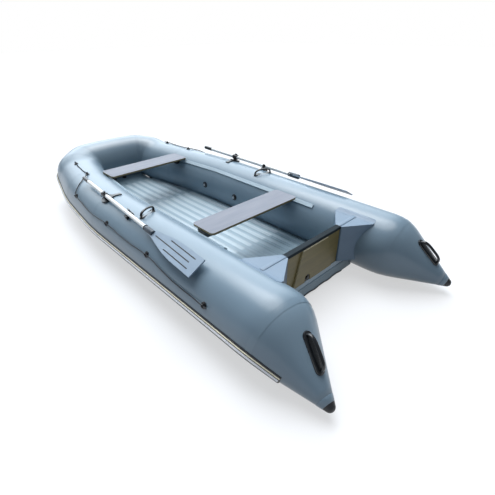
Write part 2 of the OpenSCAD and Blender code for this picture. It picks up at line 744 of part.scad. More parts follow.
module port_tube() { color(hull_grey) half_tube(); }
module starboard_tube() { color(hull_grey) starboard() half_tube(); }
module port_transom_holder() { color(hull_grey) half_transom_holder(); }
module starboard_transom_holder() { color(hull_grey) starboard() half_transom_holder(); }
module port_tail_cap() { color(black) half_tail_cap(); }
module starboard_tail_cap() { color(black) starboard() half_tail_cap(); }
module port_tail_handle() { color(black) half_tail_handle(); }
module starboard_tail_handle() { color(black) starboard() half_tail_handle(); }
module port_carry_handle() { color(black) half_carry_handle(); }
module starboard_carry_handle() { color(black) starboard() half_carry_handle(); }
module port_rub_strake() { color(black) half_rub_strake(); }
module starboard_rub_strake() { color(black) starboard() half_rub_strake(); }
module port_seat_rail() { color(pale_grey) half_seat_rail(); }
module starboard_seat_rail() { color(pale_grey) starboard() half_seat_rail(); }
module port_oar_shaft() { color(white) half_oar_shaft(); }
module starboard_oar_shaft() { color(white) starboard() half_oar_shaft(); }
module port_oar_blade() { color(seat_grey) half_oar_blade(); }
module starboard_oar_blade() { color(seat_grey) starboard() half_oar_blade(); }
module port_oar_grip() { color(black) half_oar_grip(); }
module starboard_oar_grip() { color(black) starboard() half_oar_grip(); }
module port_oarlock_base() { color(black) half_oarlock_base(); }
module starboard_oarlock_base() { color(black) starboard() half_oarlock_base(); }
module port_oarlock() { color(black) half_oarlock(); }
module starboard_oarlock() { color(black) starboard() half_oarlock(); }
module port_oar_clip() { color(black) half_oar_clip(); }
module starboard_oar_clip() { color(black) starboard() half_oar_clip(); }
module port_eyelets() { color(black) half_eyelets(); }
module starboard_eyelets() { color(black) starboard() half_eyelets(); }
module port_lifeline() { color(black) half_lifeline(); }
module starboard_lifeline() { color(black) starboard() half_lifeline(); }
module port_valves() { color(black) half_valves(); }
module starboard_valves() { color(black) starboard() half_valves(); }
module front_seat_board() { color(seat_grey) seat_board(front_seat_x, front_seat_half); }
module aft_seat_board() { color(seat_grey) seat_board(aft_seat_x, aft_seat_half); }
module front_seat_brackets() {
    color(black) seat_brackets(front_seat_x, front_seat_half, front_seat_over);
}
module aft_seat_brackets() {
    color(black) seat_brackets(aft_seat_x, aft_seat_half, aft_seat_over);
}

port_tube();
starboard_tube();
bow_tube();
air_floor();
transom_board();
transom_cap();
motor_pad();
floor_seal();
drain_plug();
port_transom_holder();
starboard_transom_holder();
port_tail_cap();
starboard_tail_cap();
port_tail_handle();
starboard_tail_handle();
port_carry_handle();
starboard_carry_handle();
port_rub_strake();
starboard_rub_strake();
port_seat_rail();
starboard_seat_rail();
front_seat_board();
front_seat_brackets();
aft_seat_board();
aft_seat_brackets();
port_oar_shaft();
port_oar_blade();
port_oar_grip();
port_oarlock_base();
port_oarlock();
port_oar_clip();
starboard_oar_shaft();
starboard_oar_blade();
starboard_oar_grip();
starboard_oarlock_base();
starboard_oarlock();
starboard_oar_clip();
port_eyelets();
starboard_eyelets();
port_lifeline();
starboard_lifeline();
port_valves();
starboard_valves();
bow_tow_eye();
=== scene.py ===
"""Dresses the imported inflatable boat: skins, fittings, ropes, finishes, studio light and camera."""

import logging
import math
from collections.abc import Callable
from dataclasses import dataclass
from enum import Enum

import bmesh
import bpy
from mathutils import Matrix, Vector


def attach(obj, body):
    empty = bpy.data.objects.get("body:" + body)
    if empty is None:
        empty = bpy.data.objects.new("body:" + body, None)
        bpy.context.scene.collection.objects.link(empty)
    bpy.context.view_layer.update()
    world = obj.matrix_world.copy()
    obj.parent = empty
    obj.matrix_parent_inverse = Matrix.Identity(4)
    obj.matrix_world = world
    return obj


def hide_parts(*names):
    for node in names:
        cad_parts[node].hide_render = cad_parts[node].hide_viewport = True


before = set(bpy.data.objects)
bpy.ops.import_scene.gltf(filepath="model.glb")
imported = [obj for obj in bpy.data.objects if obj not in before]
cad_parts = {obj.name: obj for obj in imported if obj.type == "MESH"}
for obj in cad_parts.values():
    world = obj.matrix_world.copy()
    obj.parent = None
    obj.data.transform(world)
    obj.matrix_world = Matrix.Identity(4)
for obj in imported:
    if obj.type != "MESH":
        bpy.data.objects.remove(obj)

Tree = bpy.types.NodeTree
Socket = bpy.types.NodeSocket
Piece = bpy.types.Object
Pair = tuple[float, float]
Point = tuple[float, float, float]
Rows = list[list[Vector]]

LOG = logging.getLogger("boat")
HULL = "hull"
IMAGE_PX = 495.0
SENSOR_MM = 36.0
MM = 0.001
FLIP = Vector((1, -1, 1))
SIDES = (("port", Vector((1, 1, 1))), ("starboard", FLIP))

# Shares of a corner's parabola where a softened seam gets a point.
SOFT_STEPS = (0.0, 0.25, 0.5, 0.75, 1.0)
# Longest share of a panel's length that a softened seam takes.
SOFT_SHARE = 0.45
# Edges sharper than these stay crisp, in degrees.
FITTING_SHADE = 40.0
HANDLE_SHADE = 35.0
STRAKE_SHADE = 30.0
# Sides of turned pieces, and steps of their rounded rims.
ROUND_SIDES = 40
RIM_STEPS = 3
# Points nearer than this are one point, in metres.
MERGE = 1e-6
# Corners of a box's faces, with its points in the order of x, y and z.
BOX_FACES = ([0, 1, 3, 2], [4, 6, 7, 5], [0, 4, 5, 1], [2, 3, 7, 6], [0, 2, 6, 4], [1, 5, 7, 3])

# Noise of a finish: detail and roughness of its broad drift, and detail of its grain.
DRIFT_DETAIL = 4.0
DRIFT_ROUGHNESS = 0.55
DRIFT_ENDS = (0.3, 0.7)
GRAIN_DETAIL = 2.0
BUMP_STRENGTH = 0.6
# Blender's wave repeats at this value over its scale.
WAVE_LENGTH = 0.314


def linear(hex_colour: str) -> tuple[float, float, float, float]:
    """Turns an sRGB hex colour into linear values.

    Args:
        hex_colour: Colour written as six hex digits.

    Returns:
        Linear red, green, blue and an alpha of 1.
    """
    parts = [int(hex_colour[i : i + 2], 16) / 255 for i in (0, 2, 4)]
    lin = [p / 12.92 if p <= 0.04045 else ((p + 0.055) / 1.055) ** 2.4 for p in parts]
    return (lin[0], lin[1], lin[2], 1.0)


def add_node(
    tree: Tree,
    kind: str,
    settings: dict[str, object] | None = None,
    values: dict[str | int, object] | None = None,
    links: dict[str | int, Socket] | None = None,
) -> bpy.types.Node:
    """Adds a shader node with its settings, socket values and incoming links.

    Args:
        tree: Node tree of the material.
        kind: Blender's node type name.
        settings: Attributes of the node.
        values: Values of input sockets by name or index.
        links: Output sockets that feed input sockets.

    Returns:
        The new node.
    """
    node = tree.nodes.new(kind)
    for key, value in (settings or {}).items():
        setattr(node, key, value)
    for key, value in (values or {}).items():
        node.inputs[key].default_value = value
    for key, socket in (links or {}).items():
        tree.links.new(socket, node.inputs[key])
    return node


def maths(tree: Tree, operation: str, first: Socket, second: Socket | float | None = None) -> Socket:
    """Adds a math node.

    Args:
        tree: Node tree of the material.
        operation: Blender's name of the operation.
        first: First operand.
        second: Second operand, as a socket or a number.

    Returns:
        Socket with the result.
    """
    links = {0: first}
    values = {}
    if isinstance(second, Socket):
        links[1] = second
    elif second is not None:
        values[1] = second
    return add_node(tree, "ShaderNodeMath", {"operation": operation}, values, links).outputs[0]


def remap(tree: Tree, value: Socket, source: Pair, target: Pair = (0.0, 1.0), soft: bool = False) -> Socket:
    """Maps one range to another, clamped at its ends.

    Args:
        tree: Node tree of the material.
        value: What is mapped.
        source: Range of the value.
        target: Range of the result.
        soft: Whether the result eases in and out.

    Returns:
        Socket with the result.
    """
    names = ("From Min", "From Max", "To Min", "To Max")
    return add_node(
        tree,
        "ShaderNodeMapRange",
        {"interpolation_type": "SMOOTHSTEP" if soft else "LINEAR"},
        dict(zip(names, (*source, *target))),
        {"Value": value},
    ).outputs["Result"]


def ramp(tree: Tree, share: Socket, *stops: tuple[float, str]) -> Socket:
    """Blends between two colours.

    Args:
        tree: Node tree of the material.
        share: Value that picks the colour.
        stops: Place and hex colour of the ramp's two ends.

    Returns:
        Socket with the colour.
    """
    node = add_node(tree, "ShaderNodeValToRGB", links={"Fac": share})
    for element, (place, colour) in zip(node.color_ramp.elements, stops):
        element.position = place
        element.color = linear(colour)
    return node.outputs["Color"]


class Coords(Enum):
    """Where a pattern takes its place from."""

    OBJECT = "Object"
    UV = "UV"


@dataclass(frozen=True)
class Finish:
    """A finish with a broad colour drift, a fine grain and a bump."""

    name: str
    colour: str
    drift: str
    roughness: float
    drift_mm: float = 300.0
    grain_mm: float = 2.0
    bump_mm: float = 0.05
    ior: float = 1.5
    stretch: Point = (1.0, 1.0, 1.0)
    coords: Coords = Coords.OBJECT

    def colour_socket(self, tree: Tree, place: Socket) -> Socket:
        """Draws the colour.

        Args:
            tree: Node tree of the material.
            place: Coordinates in metres.

        Returns:
            Socket with the surface colour.
        """
        turn = add_node(tree, "ShaderNodeMapping", values={"Scale": self.stretch}, links={"Vector": place})
        noise = add_node(
            tree,
            "ShaderNodeTexNoise",
            values={"Scale": 1 / (self.drift_mm * MM), "Detail": DRIFT_DETAIL, "Roughness": DRIFT_ROUGHNESS},
            links={"Vector": turn.outputs["Vector"]},
        )
        return ramp(tree, noise.outputs["Fac"], (DRIFT_ENDS[0], self.colour), (DRIFT_ENDS[1], self.drift))

    def height_socket(self, tree: Tree, place: Socket) -> Socket:
        """Draws the fine grain.

        Args:
            tree: Node tree of the material.
            place: Coordinates in metres.

        Returns:
            Socket with the height.
        """
        values = {"Scale": 1 / (self.grain_mm * MM), "Detail": GRAIN_DETAIL}
        return add_node(tree, "ShaderNodeTexNoise", values=values, links={"Vector": place}).outputs["Fac"]

    def material(self) -> bpy.types.Material:
        """Builds the material once.

        Returns:
            The material, also where it was built before.
        """
        if self.name in bpy.data.materials:
            return bpy.data.materials[self.name]
        made = bpy.data.materials.new(self.name)
        made.use_nodes = True
        tree = made.node_tree
        tree.nodes.clear()
        place = add_node(tree, "ShaderNodeTexCoord").outputs[self.coords.value]
        bump = add_node(
            tree,
            "ShaderNodeBump",
            values={"Strength": BUMP_STRENGTH, "Distance": self.bump_mm * MM},
            links={"Height": self.height_socket(tree, place)},
        )
        shader = add_node(
            tree,
            "ShaderNodeBsdfPrincipled",
            values={"Roughness": self.roughness, "IOR": self.ior},
            links={"Base Color": self.colour_socket(tree, place), "Normal": bump.outputs["Normal"]},
        )
        add_node(tree, "ShaderNodeOutputMaterial", links={"Surface": shader.outputs["BSDF"]})
        return made

    def dress(self, obj: Piece) -> None:
        """Puts the material on an object, alone."""
        obj.data.materials.clear()
        obj.data.materials.append(self.material())


@dataclass(frozen=True)
class WovenFinish(Finish):
    """Coated fabric whose base cloth prints through as a fine square weave."""

    thread_mm: float = 5.0

    def height_socket(self, tree: Tree, place: Socket) -> Socket:
        """Draws the weave as two crossed waves.

        Args:
            tree: Node tree of the material.
            place: Coordinates in metres.

        Returns:
            Socket with the height.
        """
        values = {"Scale": WAVE_LENGTH / (self.thread_mm * MM), "Distortion": 0.0}
        waves = [
            add_node(tree, "ShaderNodeTexWave", {"bands_direction": axis}, values, {"Vector": place})
            for axis in ("X", "Y")
        ]
        return maths(tree, "ADD", *(wave.outputs["Fac"] for wave in waves))


@dataclass(frozen=True)
class PlyFinish(Finish):
    """Varnished plywood: long grain on its faces and thin layers on its edges."""

    face_axis: int = 2
    edge_light: str = "CFC29C"
    edge_dark: str = "8A7A55"
    layer_mm: float = 3.0
    layer_ends: Pair = (0.45, 0.55)
    face_share: float = 0.6

    def colour_socket(self, tree: Tree, place: Socket) -> Socket:
        """Mixes the face's colour and the edge's layers by the side that a face looks to.

        Args:
            tree: Node tree of the material.
            place: Coordinates in metres.

        Returns:
            Socket with the surface colour.
        """
        face = Finish.colour_socket(self, tree, place)
        depth = add_node(tree, "ShaderNodeSeparateXYZ", links={"Vector": place}).outputs[self.face_axis]
        layer = self.layer_mm * MM
        share = remap(tree, maths(tree, "PINGPONG", depth, layer), (0.0, layer))
        layers = ramp(tree, share, *zip(self.layer_ends, (self.edge_light, self.edge_dark)))
        normal = add_node(tree, "ShaderNodeTexCoord").outputs["Normal"]
        facing = add_node(tree, "ShaderNodeSeparateXYZ", links={"Vector": normal}).outputs[self.face_axis]
        is_face = maths(tree, "GREATER_THAN", maths(tree, "ABSOLUTE", facing), self.face_share)
        links = {0: is_face, 6: layers, 7: face}
        return add_node(tree, "ShaderNodeMix", {"data_type": "RGBA"}, links=links).outputs[2]


@dataclass(frozen=True)
class FloorFinish(WovenFinish):
    """Pale air-floor fabric with three blocks of whitish bands along its ribs."""

    band: str = "A6B6C0"
    pitch_mm: float = 84.0
    band_share: float = 0.56
    band_edge_mm: float = 4.0
    blocks: tuple[Pair, ...] = ((0.80, 1.45), (-0.10, 0.72), (-0.64, -0.20))
    block_edge_mm: float = 12.0

    def colour_socket(self, tree: Tree, place: Socket) -> Socket:
        """Lays the bands over the fabric's colour.

        Args:
            tree: Node tree of the material.
            place: Coordinates in metres.

        Returns:
            Socket with the surface colour.
        """
        cloth = Finish.colour_socket(self, tree, place)
        parts = add_node(tree, "ShaderNodeSeparateXYZ", links={"Vector": place}).outputs
        half = self.pitch_mm * MM / 2
        rim, blur = half * (1 - self.band_share), self.band_edge_mm * MM
        on_rib = remap(tree, maths(tree, "PINGPONG", parts["Y"], half), (rim - blur, rim + blur))
        share: Socket | None = None
        blur = self.block_edge_mm * MM
        for aft, fore in self.blocks:
            middle, reach = (aft + fore) / 2, (fore - aft) / 2
            off = maths(tree, "ABSOLUTE", maths(tree, "SUBTRACT", parts["X"], middle))
            inside = remap(tree, off, (reach + blur, reach - blur))
            share = inside if share is None else maths(tree, "MAXIMUM", share, inside)
        values, links = {7: linear(self.band)}, {0: maths(tree, "MULTIPLY", share, on_rib), 6: cloth}
        return add_node(tree, "ShaderNodeMix", {"data_type": "RGBA"}, values, links).outputs[2]


# Welded PVC tarpaulin: a satin coat over cloth, so broad soft highlights and a faint weave.
TUBE_PVC = WovenFinish("tube_pvc_tarpaulin", "6C8090", "768A99", 0.29, 700.0, bump_mm=0.02)
# The same fabric in strips glued over the seams, a touch darker.
SEAM_PVC = WovenFinish("seam_tape_pvc", "6B7F8F", "748897", 0.30, 400.0, bump_mm=0.02)
# Duller fabric of the transom holders.
HOLDER_PVC = WovenFinish("transom_holder_pvc", "5F758B", "687E93", 0.45, 300.0, bump_mm=0.02)
# Floor fabric: paler, with whitish bands on the ribs.
FLOOR_PVC = FloorFinish("air_floor_pvc", "7A919F", "849AA8", 0.46, 500.0, bump_mm=0.03)
# Pale fabric of the sealing strip and the seat rails, without bands.
STRIP_PVC = WovenFinish("sealing_strip_pvc", "A3B6C3", "AFC1CD", 0.45, 300.0, bump_mm=0.03)
# Moulded black rubber: dull, with a fine grain. It also paints the shade at the bottoms of the blades'
# grooves.
BLACK_RUBBER_AND_GROOVE_SHADE = Finish("moulded_black_rubber_and_groove_shade", "15161A", "1E2024", 0.5, 60.0, 1.5, 0.08)
# Dark grey rubber of the sleeve over the blade's neck.
NECK_RUBBER = Finish("neck_sleeve_rubber", "333D48", "3D4853", 0.5, 40.0, 1.2, 0.06)
# Dark strip over the transom's top edge.
EDGE_RUBBER = Finish("edge_strip_rubber", "1B252B", "222C33", 0.7, 80.0, 1.5, 0.06, ior=1.2)
# Moulded black nylon: smoother than the rubber, with a soft shine.
BLACK_NYLON = Finish("moulded_black_nylon", "17181B", "1F2124", 0.32, 50.0, 1.0, 0.04)
# Glossy black nylon of the grab handles.
HANDLE_NYLON = Finish("glossy_black_nylon", "14161A", "1C1F23", 0.2, 50.0, 1.0, 0.02)
# Light grey nylon of the valve caps.
GREY_NYLON = Finish("moulded_grey_nylon", "9AA3AB", "A5AEB6", 0.35, 30.0, 1.0, 0.04)
# White strake bead: extruded PVC with a little dirt.
WHITE_BEAD = Finish("strake_bead_white_pvc", "F4F4F8", "E8E9F0", 0.4, 120.0, 1.5, 0.04)
# Cream strake bead of the same make.
CREAM_BEAD = Finish("strake_bead_cream_pvc", "F6EFD8", "EBE4CC", 0.4, 120.0, 1.5, 0.04)
# Water-resistant plywood with a khaki stain, varnished.
TRANSOM_PLY = PlyFinish(
    "stained_marine_ply", "665B32", "766A3C", 0.42, 40.0, 1.2, 0.06, stretch=(1.0, 0.12, 1.0), face_axis=0
)
# Sawn top edge of the motor pad: bare, pale layers. It is partly painted light: only the top edge gets this
# pale plate, which lifts it out of the shade under the cap's lip.
SAWN_PLY_AND_LIGHT = Finish("sawn_ply_edge_and_painted_light", "CFC7AE", "BDB497", 0.55, 25.0, 1.0, 0.06, stretch=(1.0, 0.1, 1.0))
# Seat boards: grey film over ply, tan layers at the edges.
SEAT_PLY = PlyFinish(
    "film_faced_seat_ply", "747986", "80848F", 0.55, 60.0, 1.5, 0.05, ior=1.33, stretch=(1.0, 0.15, 1.0),
    edge_light="A89A7A", edge_dark="4A4334", layer_mm=4.5,
)
# White powder coat on the aluminium shaft.
SHAFT_COAT = Finish("white_coated_aluminium", "EBEDED", "E2E5E6", 0.3, 150.0, 1.0, 0.02)
# Injection-moulded grey blade.
BLADE_PP = Finish("moulded_grey_polypropylene", "8092A5", "8B9DAF", 0.4, 80.0, 1.2, 0.05)
# Braided polypropylene rope, drawn along its own length.
ROPE_BRAID = WovenFinish(
    "black_braided_rope", "24272C", "31353B", 0.7, 30.0, bump_mm=0.6, thread_mm=4.0, coords=Coords.UV
)


def deselect() -> None:
    """Leaves edit mode and clears the selection."""
    if bpy.context.object and bpy.context.object.mode != "OBJECT":
        bpy.ops.object.mode_set(mode="OBJECT")
    bpy.ops.object.select_all(action="DESELECT")


def activate(obj: Piece) -> None:
    """Makes an object the one that operators work on.

    Args:
        obj: The object.
    """
    deselect()
    obj.select_set(True)
    bpy.context.view_layer.objects.active = obj


def settle(obj: Piece, body: str, *finishes: Finish) -> None:
    """Puts an object's place into its mesh, rides it on a body and dresses it.

    Args:
        obj: Finished mesh object.
        body: CAD body that it moves with.
        finishes: Materials in slot order.
    """
    activate(obj)
    bpy.ops.object.transform_apply(location=True, rotation=True, scale=True)
    for finish in finishes:
        obj.data.materials.append(finish.material())
    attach(obj, body)
    LOG.info("piece %s on %s, %d faces", obj.name, body, len(obj.data.polygons))


def mesh_object(name: str, verts: list[Vector], faces: list[list[int]], smooth: bool = True) -> Piece:
    """Makes a mesh object from points and faces, with outward normals.

    Args:
        name: Name of the piece.
        verts: Points in metres.
        faces: Point indices of each face.
        smooth: Whether faces are shaded smooth.

    Returns:
        The new object, linked to the scene.
    """
    mesh = bpy.data.meshes.new(name)
    mesh.from_pydata([tuple(v) for v in verts], [], faces)
    shaped = bmesh.new()
    shaped.from_mesh(mesh)
    bmesh.ops.remove_doubles(shaped, verts=shaped.verts, dist=MERGE)
    bmesh.ops.recalc_face_normals(shaped, faces=shaped.faces)
    shaped.to_mesh(mesh)
    shaped.free()
    obj = bpy.data.objects.new(name, mesh)
    bpy.context.scene.collection.objects.link(obj)
    for poly in mesh.polygons:
        poly.use_smooth = smooth
    return obj


def circle(count: int, start: float = 0.0) -> list[Pair]:
    """Gives places round a circle of radius 1.

    Args:
        count: Number of places.
        start: Share of a step before the first place.

    Returns:
        The places.
    """
    turns = [2 * math.pi * (i + start) / count for i in range(count)]
    return [(math.cos(a), math.sin(a)) for a in turns]


def mirrored(rows: Rows, flip: Vector) -> Rows:
    """Gives lines on the side that a flip stands for."""
    return [[point * flip for point in row] for row in rows]


def loft(name: str, lines: Rows, strips: tuple[int, ...] = (0,), closed_ends: bool = True) -> Piece:
    """Makes a skin across neighbouring lines, the last one joined to the first.

    Args:
        name: Name of the piece.
        lines: Points of each line, as many for every line.
        strips: Material slot of the strip that starts at each line.
        closed_ends: Whether the two ends get a face.

    Returns:
        The mesh object.
    """
    n, m = len(lines), len(lines[0])
    verts = [lines[i][k] for k in range(m) for i in range(n)]
    faces, slots = [], []
    for k in range(m - 1):
        for i in range(n):
            j = (i + 1) % n
            faces.append([k * n + i, k * n + j, (k + 1) * n + j, (k + 1) * n + i])
            slots.append(strips[i % len(strips)])
    if closed_ends:
        faces += [list(range(n)), [(m - 1) * n + i for i in range(n)]]
        slots += [strips[0], strips[0]]
    obj = mesh_object(name, verts, faces)
    for poly, slot in zip(obj.data.polygons, slots):
        poly.material_index = slot
    return obj


def smooth_by_angle(obj: Piece, degrees: float) -> None:
    """Shades an object smooth except over sharper edges."""
    activate(obj)
    bpy.ops.object.shade_smooth_by_angle(angle=math.radians(degrees))


def round_edges(name: str, width: float, segments: int) -> Piece:
    """Names the object that was just made and rounds its edges.

    Args:
        name: Name of the piece.
        width: Width of the rounding.
        segments: Steps of the rounding.

    Returns:
        The object.
    """
    obj = bpy.context.object
    obj.name = name
    edge = obj.modifiers.new("rounding", "BEVEL")
    edge.width = width
    edge.segments = segments
    bpy.ops.object.modifier_apply(modifier=edge.name)
    smooth_by_angle(obj, FITTING_SHADE)
    return obj


def rounded_cylinder(name: str, at: Vector, way: Vector, r: float, h: float, edge: float) -> Piece:
    """Turns a cylinder with rounded rims.

    Args:
        name: Name of the piece.
        at: Its middle.
        way: Direction of its axis.
        r: Radius.
        h: Length.
        edge: Width of the rims' rounding.

    Returns:
        The object.
    """
    deselect()
    turn = way.to_track_quat("Z", "Y").to_euler()
    bpy.ops.mesh.primitive_cylinder_add(vertices=ROUND_SIDES, radius=r, depth=h, location=at, rotation=turn)
    return round_edges(name, edge, RIM_STEPS)


@dataclass(frozen=True)
class Run:
    """One straight run of the tube's axis: its direction, its outward side and its up side."""

    ahead: Vector
    out: Vector
    up: Vector

    @classmethod
    def along(cls, ahead: Vector, up_hint: Vector) -> "Run":
        """Makes the run's frame.

        Args:
            ahead: Direction of the run, of any length.
            up_hint: Rough up side.

        Returns:
            The run.
        """
        way = ahead.normalized()
        out = up_hint.cross(way).normalized()
        return cls(way, out, way.cross(out).normalized())


@dataclass
class HullLines:
    """Centre line of the port tube from its tail cap to the middle of the nose, in metres.

    The tube is made of straight panels that meet in mitred seams, as they are cut and welded.
    """

    tube_r: float = 0.246
    axis_y: float = 0.652
    stern_x: float = -1.560
    bend1_x: float = 0.350
    bend2: Pair = (1.100, 0.580)
    corner: Pair = (1.529, 0.488)
    rise: float = 0.015
    lead: float = 0.060
    corner_r: float = 0.265
    tilt_deg: float = 14.5
    sweep_deg: float = 4.0
    nose_half: float = 0.110
    tip: Point = (-2.025, 0.738, 0.081)
    tip_r: float = 0.030
    cap_len: float = 0.036
    blends: tuple[float, ...] = (0.0, 0.11, 0.20, 0.20, 0.05, 0.10, 0.10, 0.03, 0.0)
    counts: tuple[int, ...] = (8, 24, 10, 6, 2, 2, 2, 2)

    def __post_init__(self) -> None:
        """Works out the tail's cone, the joints of the route and the frames of its runs."""
        self.stern = Vector((self.stern_x, self.axis_y, self.tube_r))
        self.axis = [
            self.stern,
            Vector((self.bend1_x, self.axis_y, self.tube_r)),
            Vector((*self.bend2, self.tube_r)),
            Vector((*self.corner, self.tube_r + self.rise)),
        ]
        tail = Vector(self.tip) - self.stern
        self.tail_l = tail.length
        self.tail_dir = tail.normalized()
        self.tail_a = math.asin((self.tube_r - self.tip_r) / self.tail_l)
        self.seam_n = Vector((-1, 0, 0)) + self.tail_dir / math.cos(self.tail_a)
        self.seam_p = self.stern + self.seam_n * (
            self.tube_r * math.tan(self.tail_a) / self.seam_n.length_squared
        )
        tilt = math.radians(self.tilt_deg)
        self.bow_up = Vector((-math.sin(tilt), 0, math.cos(tilt)))
        self.joints = [self.stern + self.tail_dir * self.tail_l, *self.axis, *self.bow_joints()]
        level, raised_from = Vector((0, 0, 1)), len(self.axis)
        ends = enumerate(zip(self.joints, self.joints[1:]))
        self.runs = [Run.along(b - a, level if k < raised_from else self.bow_up) for k, (a, b) in ends]

    def cone_r(self, s: float) -> float:
        """Radius of the tail cone at a distance along its axis."""
        return (self.tube_r - s * math.sin(self.tail_a)) / math.cos(self.tail_a)

    def bow_joints(self) -> list[Vector]:
        """Lays out the seams of the raised bow.

        Returns:
            Two seams at the corner, one beside the nose, and the nose's middle.
        """
        lead_dir = self.axis[3] - self.axis[2]
        head = math.atan2(lead_dir.y, lead_dir.x)
        sweep = math.radians(self.sweep_deg)
        turn = head + math.pi / 2 - sweep
        reach = self.corner_r * math.tan(turn / 4)
        way = Vector((math.cos(head), math.sin(head)))
        last = Vector((math.sin(sweep), -math.cos(sweep)))
        middle = Vector((math.cos(head - turn / 2), math.sin(head - turn / 2)))
        first_seam = way * (self.lead + reach)
        second_seam = first_seam + middle * (2 * reach)
        to_nose = (self.corner[1] + second_seam.y - self.nose_half) / math.cos(sweep)
        beside = second_seam + last * to_nose
        flat = [first_seam, second_seam, beside, Vector((beside.x, -self.corner[1]))]
        tilt = math.radians(self.tilt_deg)
        return [self.axis[3] + Vector((p.x * math.cos(tilt), p.y, p.x * math.sin(tilt))) for p in flat]

    def on_tail(self, s: float, place: Pair) -> Vector:
        """Point beside the tail's axis at a distance from the tube's end."""
        run = self.runs[0]
        return self.stern + self.tail_dir * s + run.out * place[0] + run.up * place[1]

    def at_joint(self, k: int, place: Pair) -> Vector:
        """Finds where a line along the tube meets the plane of a seam.

        Args:
            k: Index of the joint, 1 at the tail's seam.
            place: Outward and up distance of the line from the axis.

        Returns:
            The point on the seam's plane, halfway between those of the two runs that meet there.
        """
        here = self.joints[k]
        if k == len(self.joints) - 1:
            sides, normal, on_plane = [self.runs[-1]], self.runs[-1].ahead, here
        elif k == 1:
            sides, normal, on_plane = [self.runs[1]], self.seam_n, self.seam_p
        else:
            sides = [self.runs[k - 1], self.runs[k]]
            normal, on_plane = sides[0].ahead + sides[1].ahead, here
        found = Vector((0, 0, 0))
        for run in sides:
            point = here + run.out * place[0] + run.up * place[1]
            found += point + run.ahead * ((on_plane - point).dot(normal) / run.ahead.dot(normal))
        return found / len(sides)

    def at_joints(self, tail: Vector, place: Pair) -> list[Vector]:
        """Gives a line's point at the tail and those at each seam."""
        return [tail] + [self.at_joint(k, place) for k in range(1, len(self.joints))]

    def soft_reach(self, k: int, corners: list[Vector]) -> float:
        """Finds how far from a seam its softening starts.

        Args:
            k: Index of the seam.
            corners: Points of the line at the tail and at each seam.

        Returns:
            The distance.
        """
        here = corners[k]
        back, onward = corners[k - 1] - here, corners[k + 1] - here
        return min(self.blends[k], SOFT_SHARE * back.length, SOFT_SHARE * onward.length)

    def curve(self, k: int, corners: list[Vector], steps: tuple[float, ...]) -> list[Vector]:
        """Softens one corner of a line along the tube with a parabola.

        Args:
            k: Index of the seam.
            corners: Points of the line at the tail and at each seam.
            steps: Shares of the parabola where points are wanted.

        Returns:
            The points.
        """
        here, reach = corners[k], self.soft_reach(k, corners)
        back = (corners[k - 1] - here).normalized() * reach
        onward = (corners[k + 1] - here).normalized() * reach
        return [here + back * (1 - t) ** 2 + onward * t**2 for t in steps]

    def rounded(self, corners: list[Vector]) -> list[Vector]:
        """Softens the corners of one line along the tube and divides its straights.

        Args:
            corners: Points of the line at the tail and at each seam.

        Returns:
            Points of the line, as many for every line.
        """
        made = [corners[0]]
        for k in range(1, len(corners)):
            at_end = k == len(corners) - 1
            arc = [corners[k]] if at_end else self.curve(k, corners, SOFT_STEPS)
            last, count = made[-1], self.counts[k - 1]
            made += [last.lerp(arc[0], i / count) for i in range(1, count)]
            made += arc
        return made

    def run_frame(self, x: float) -> tuple[Vector, Run]:
        """Finds the straight run at a place along the boat.

        Args:
            x: Place along the boat.

        Returns:
            The axis point and the run.
        """
        i = 0 if x < self.bend1_x else 1 if x < self.bend2[0] else 2
        a, b = self.axis[i], self.axis[i + 1]
        return a.lerp(b, (x - a.x) / (b.x - a.x)), self.runs[i + 1]

    def skin_normal(self, x: float, turn_deg: float) -> Vector:
        """Finds the outward direction of the port tube's skin.

        Args:
            x: Place along the boat.
            turn_deg: Turn round the tube, outwards from its top.

        Returns:
            The direction.
        """
        run = self.run_frame(x)[1]
        turn = math.radians(turn_deg)
        return run.out * math.sin(turn) + run.up * math.cos(turn)

    def on_skin(self, x: float, turn_deg: float, height: float) -> Vector:
        """Point over the port tube's skin, at a height over it."""
        return self.run_frame(x)[0] + self.skin_normal(x, turn_deg) * (self.tube_r + height)


@dataclass
class TubeSkin:
    """The one skin over both side tubes and the bow, with the tapes over its seams."""

    lines: HullLines
    sides: int = 72
    tape_half: float = 0.022
    tape_t: float = 0.0004
    taped: tuple[int, ...] = (1, 2, 3, 5, 6)
    tape_steps: tuple[float, ...] = (-1.0, -0.5, 0.0, 0.5, 1.0)
    least_reach: float = 1e-4

    def corners(self, r: float) -> Rows:
        """Gives the lines along a tube at the tail and at each seam.

        Args:
            r: Radius of the tube.

        Returns:
            Points of each line.
        """
        s = self.lines.tail_l - self.lines.cap_len
        share = self.lines.cone_r(s) / self.lines.tube_r
        made = []
        for place in [(r * c, r * d) for c, d in circle(self.sides)]:
            tail = self.lines.on_tail(s, (place[0] * share, place[1] * share))
            made.append(self.lines.at_joints(tail, place))
        return made

    def build(self) -> None:
        """Builds the skin and the tapes."""
        full = []
        for corners in self.corners(self.lines.tube_r):
            port = self.lines.rounded(corners)
            full.append(port + [p * FLIP for p in reversed(port[:-1])])
        obj = loft("tube_skin", full)
        settle(obj, HULL, TUBE_PVC)
        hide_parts("port_tube", "starboard_tube", "bow_tube")
        for k in self.taped:
            self.tape(k)

    def tape(self, k: int) -> None:
        """Lays a tape over a seam, on both sides.

        Args:
            k: Index of the seam.
        """
        made = []
        for corners in self.corners(self.lines.tube_r + self.tape_t):
            reach = max(self.lines.soft_reach(k, corners), self.least_reach)
            half = min(0.5, self.tape_half / (2 * reach))
            made.append(self.lines.curve(k, corners, tuple(0.5 + half * t for t in self.tape_steps)))
        for side, flip in SIDES:
            obj = loft(f"{side}_seam_tape_{k}", mirrored(made, flip), closed_ends=False)
            settle(obj, HULL, SEAM_PVC)


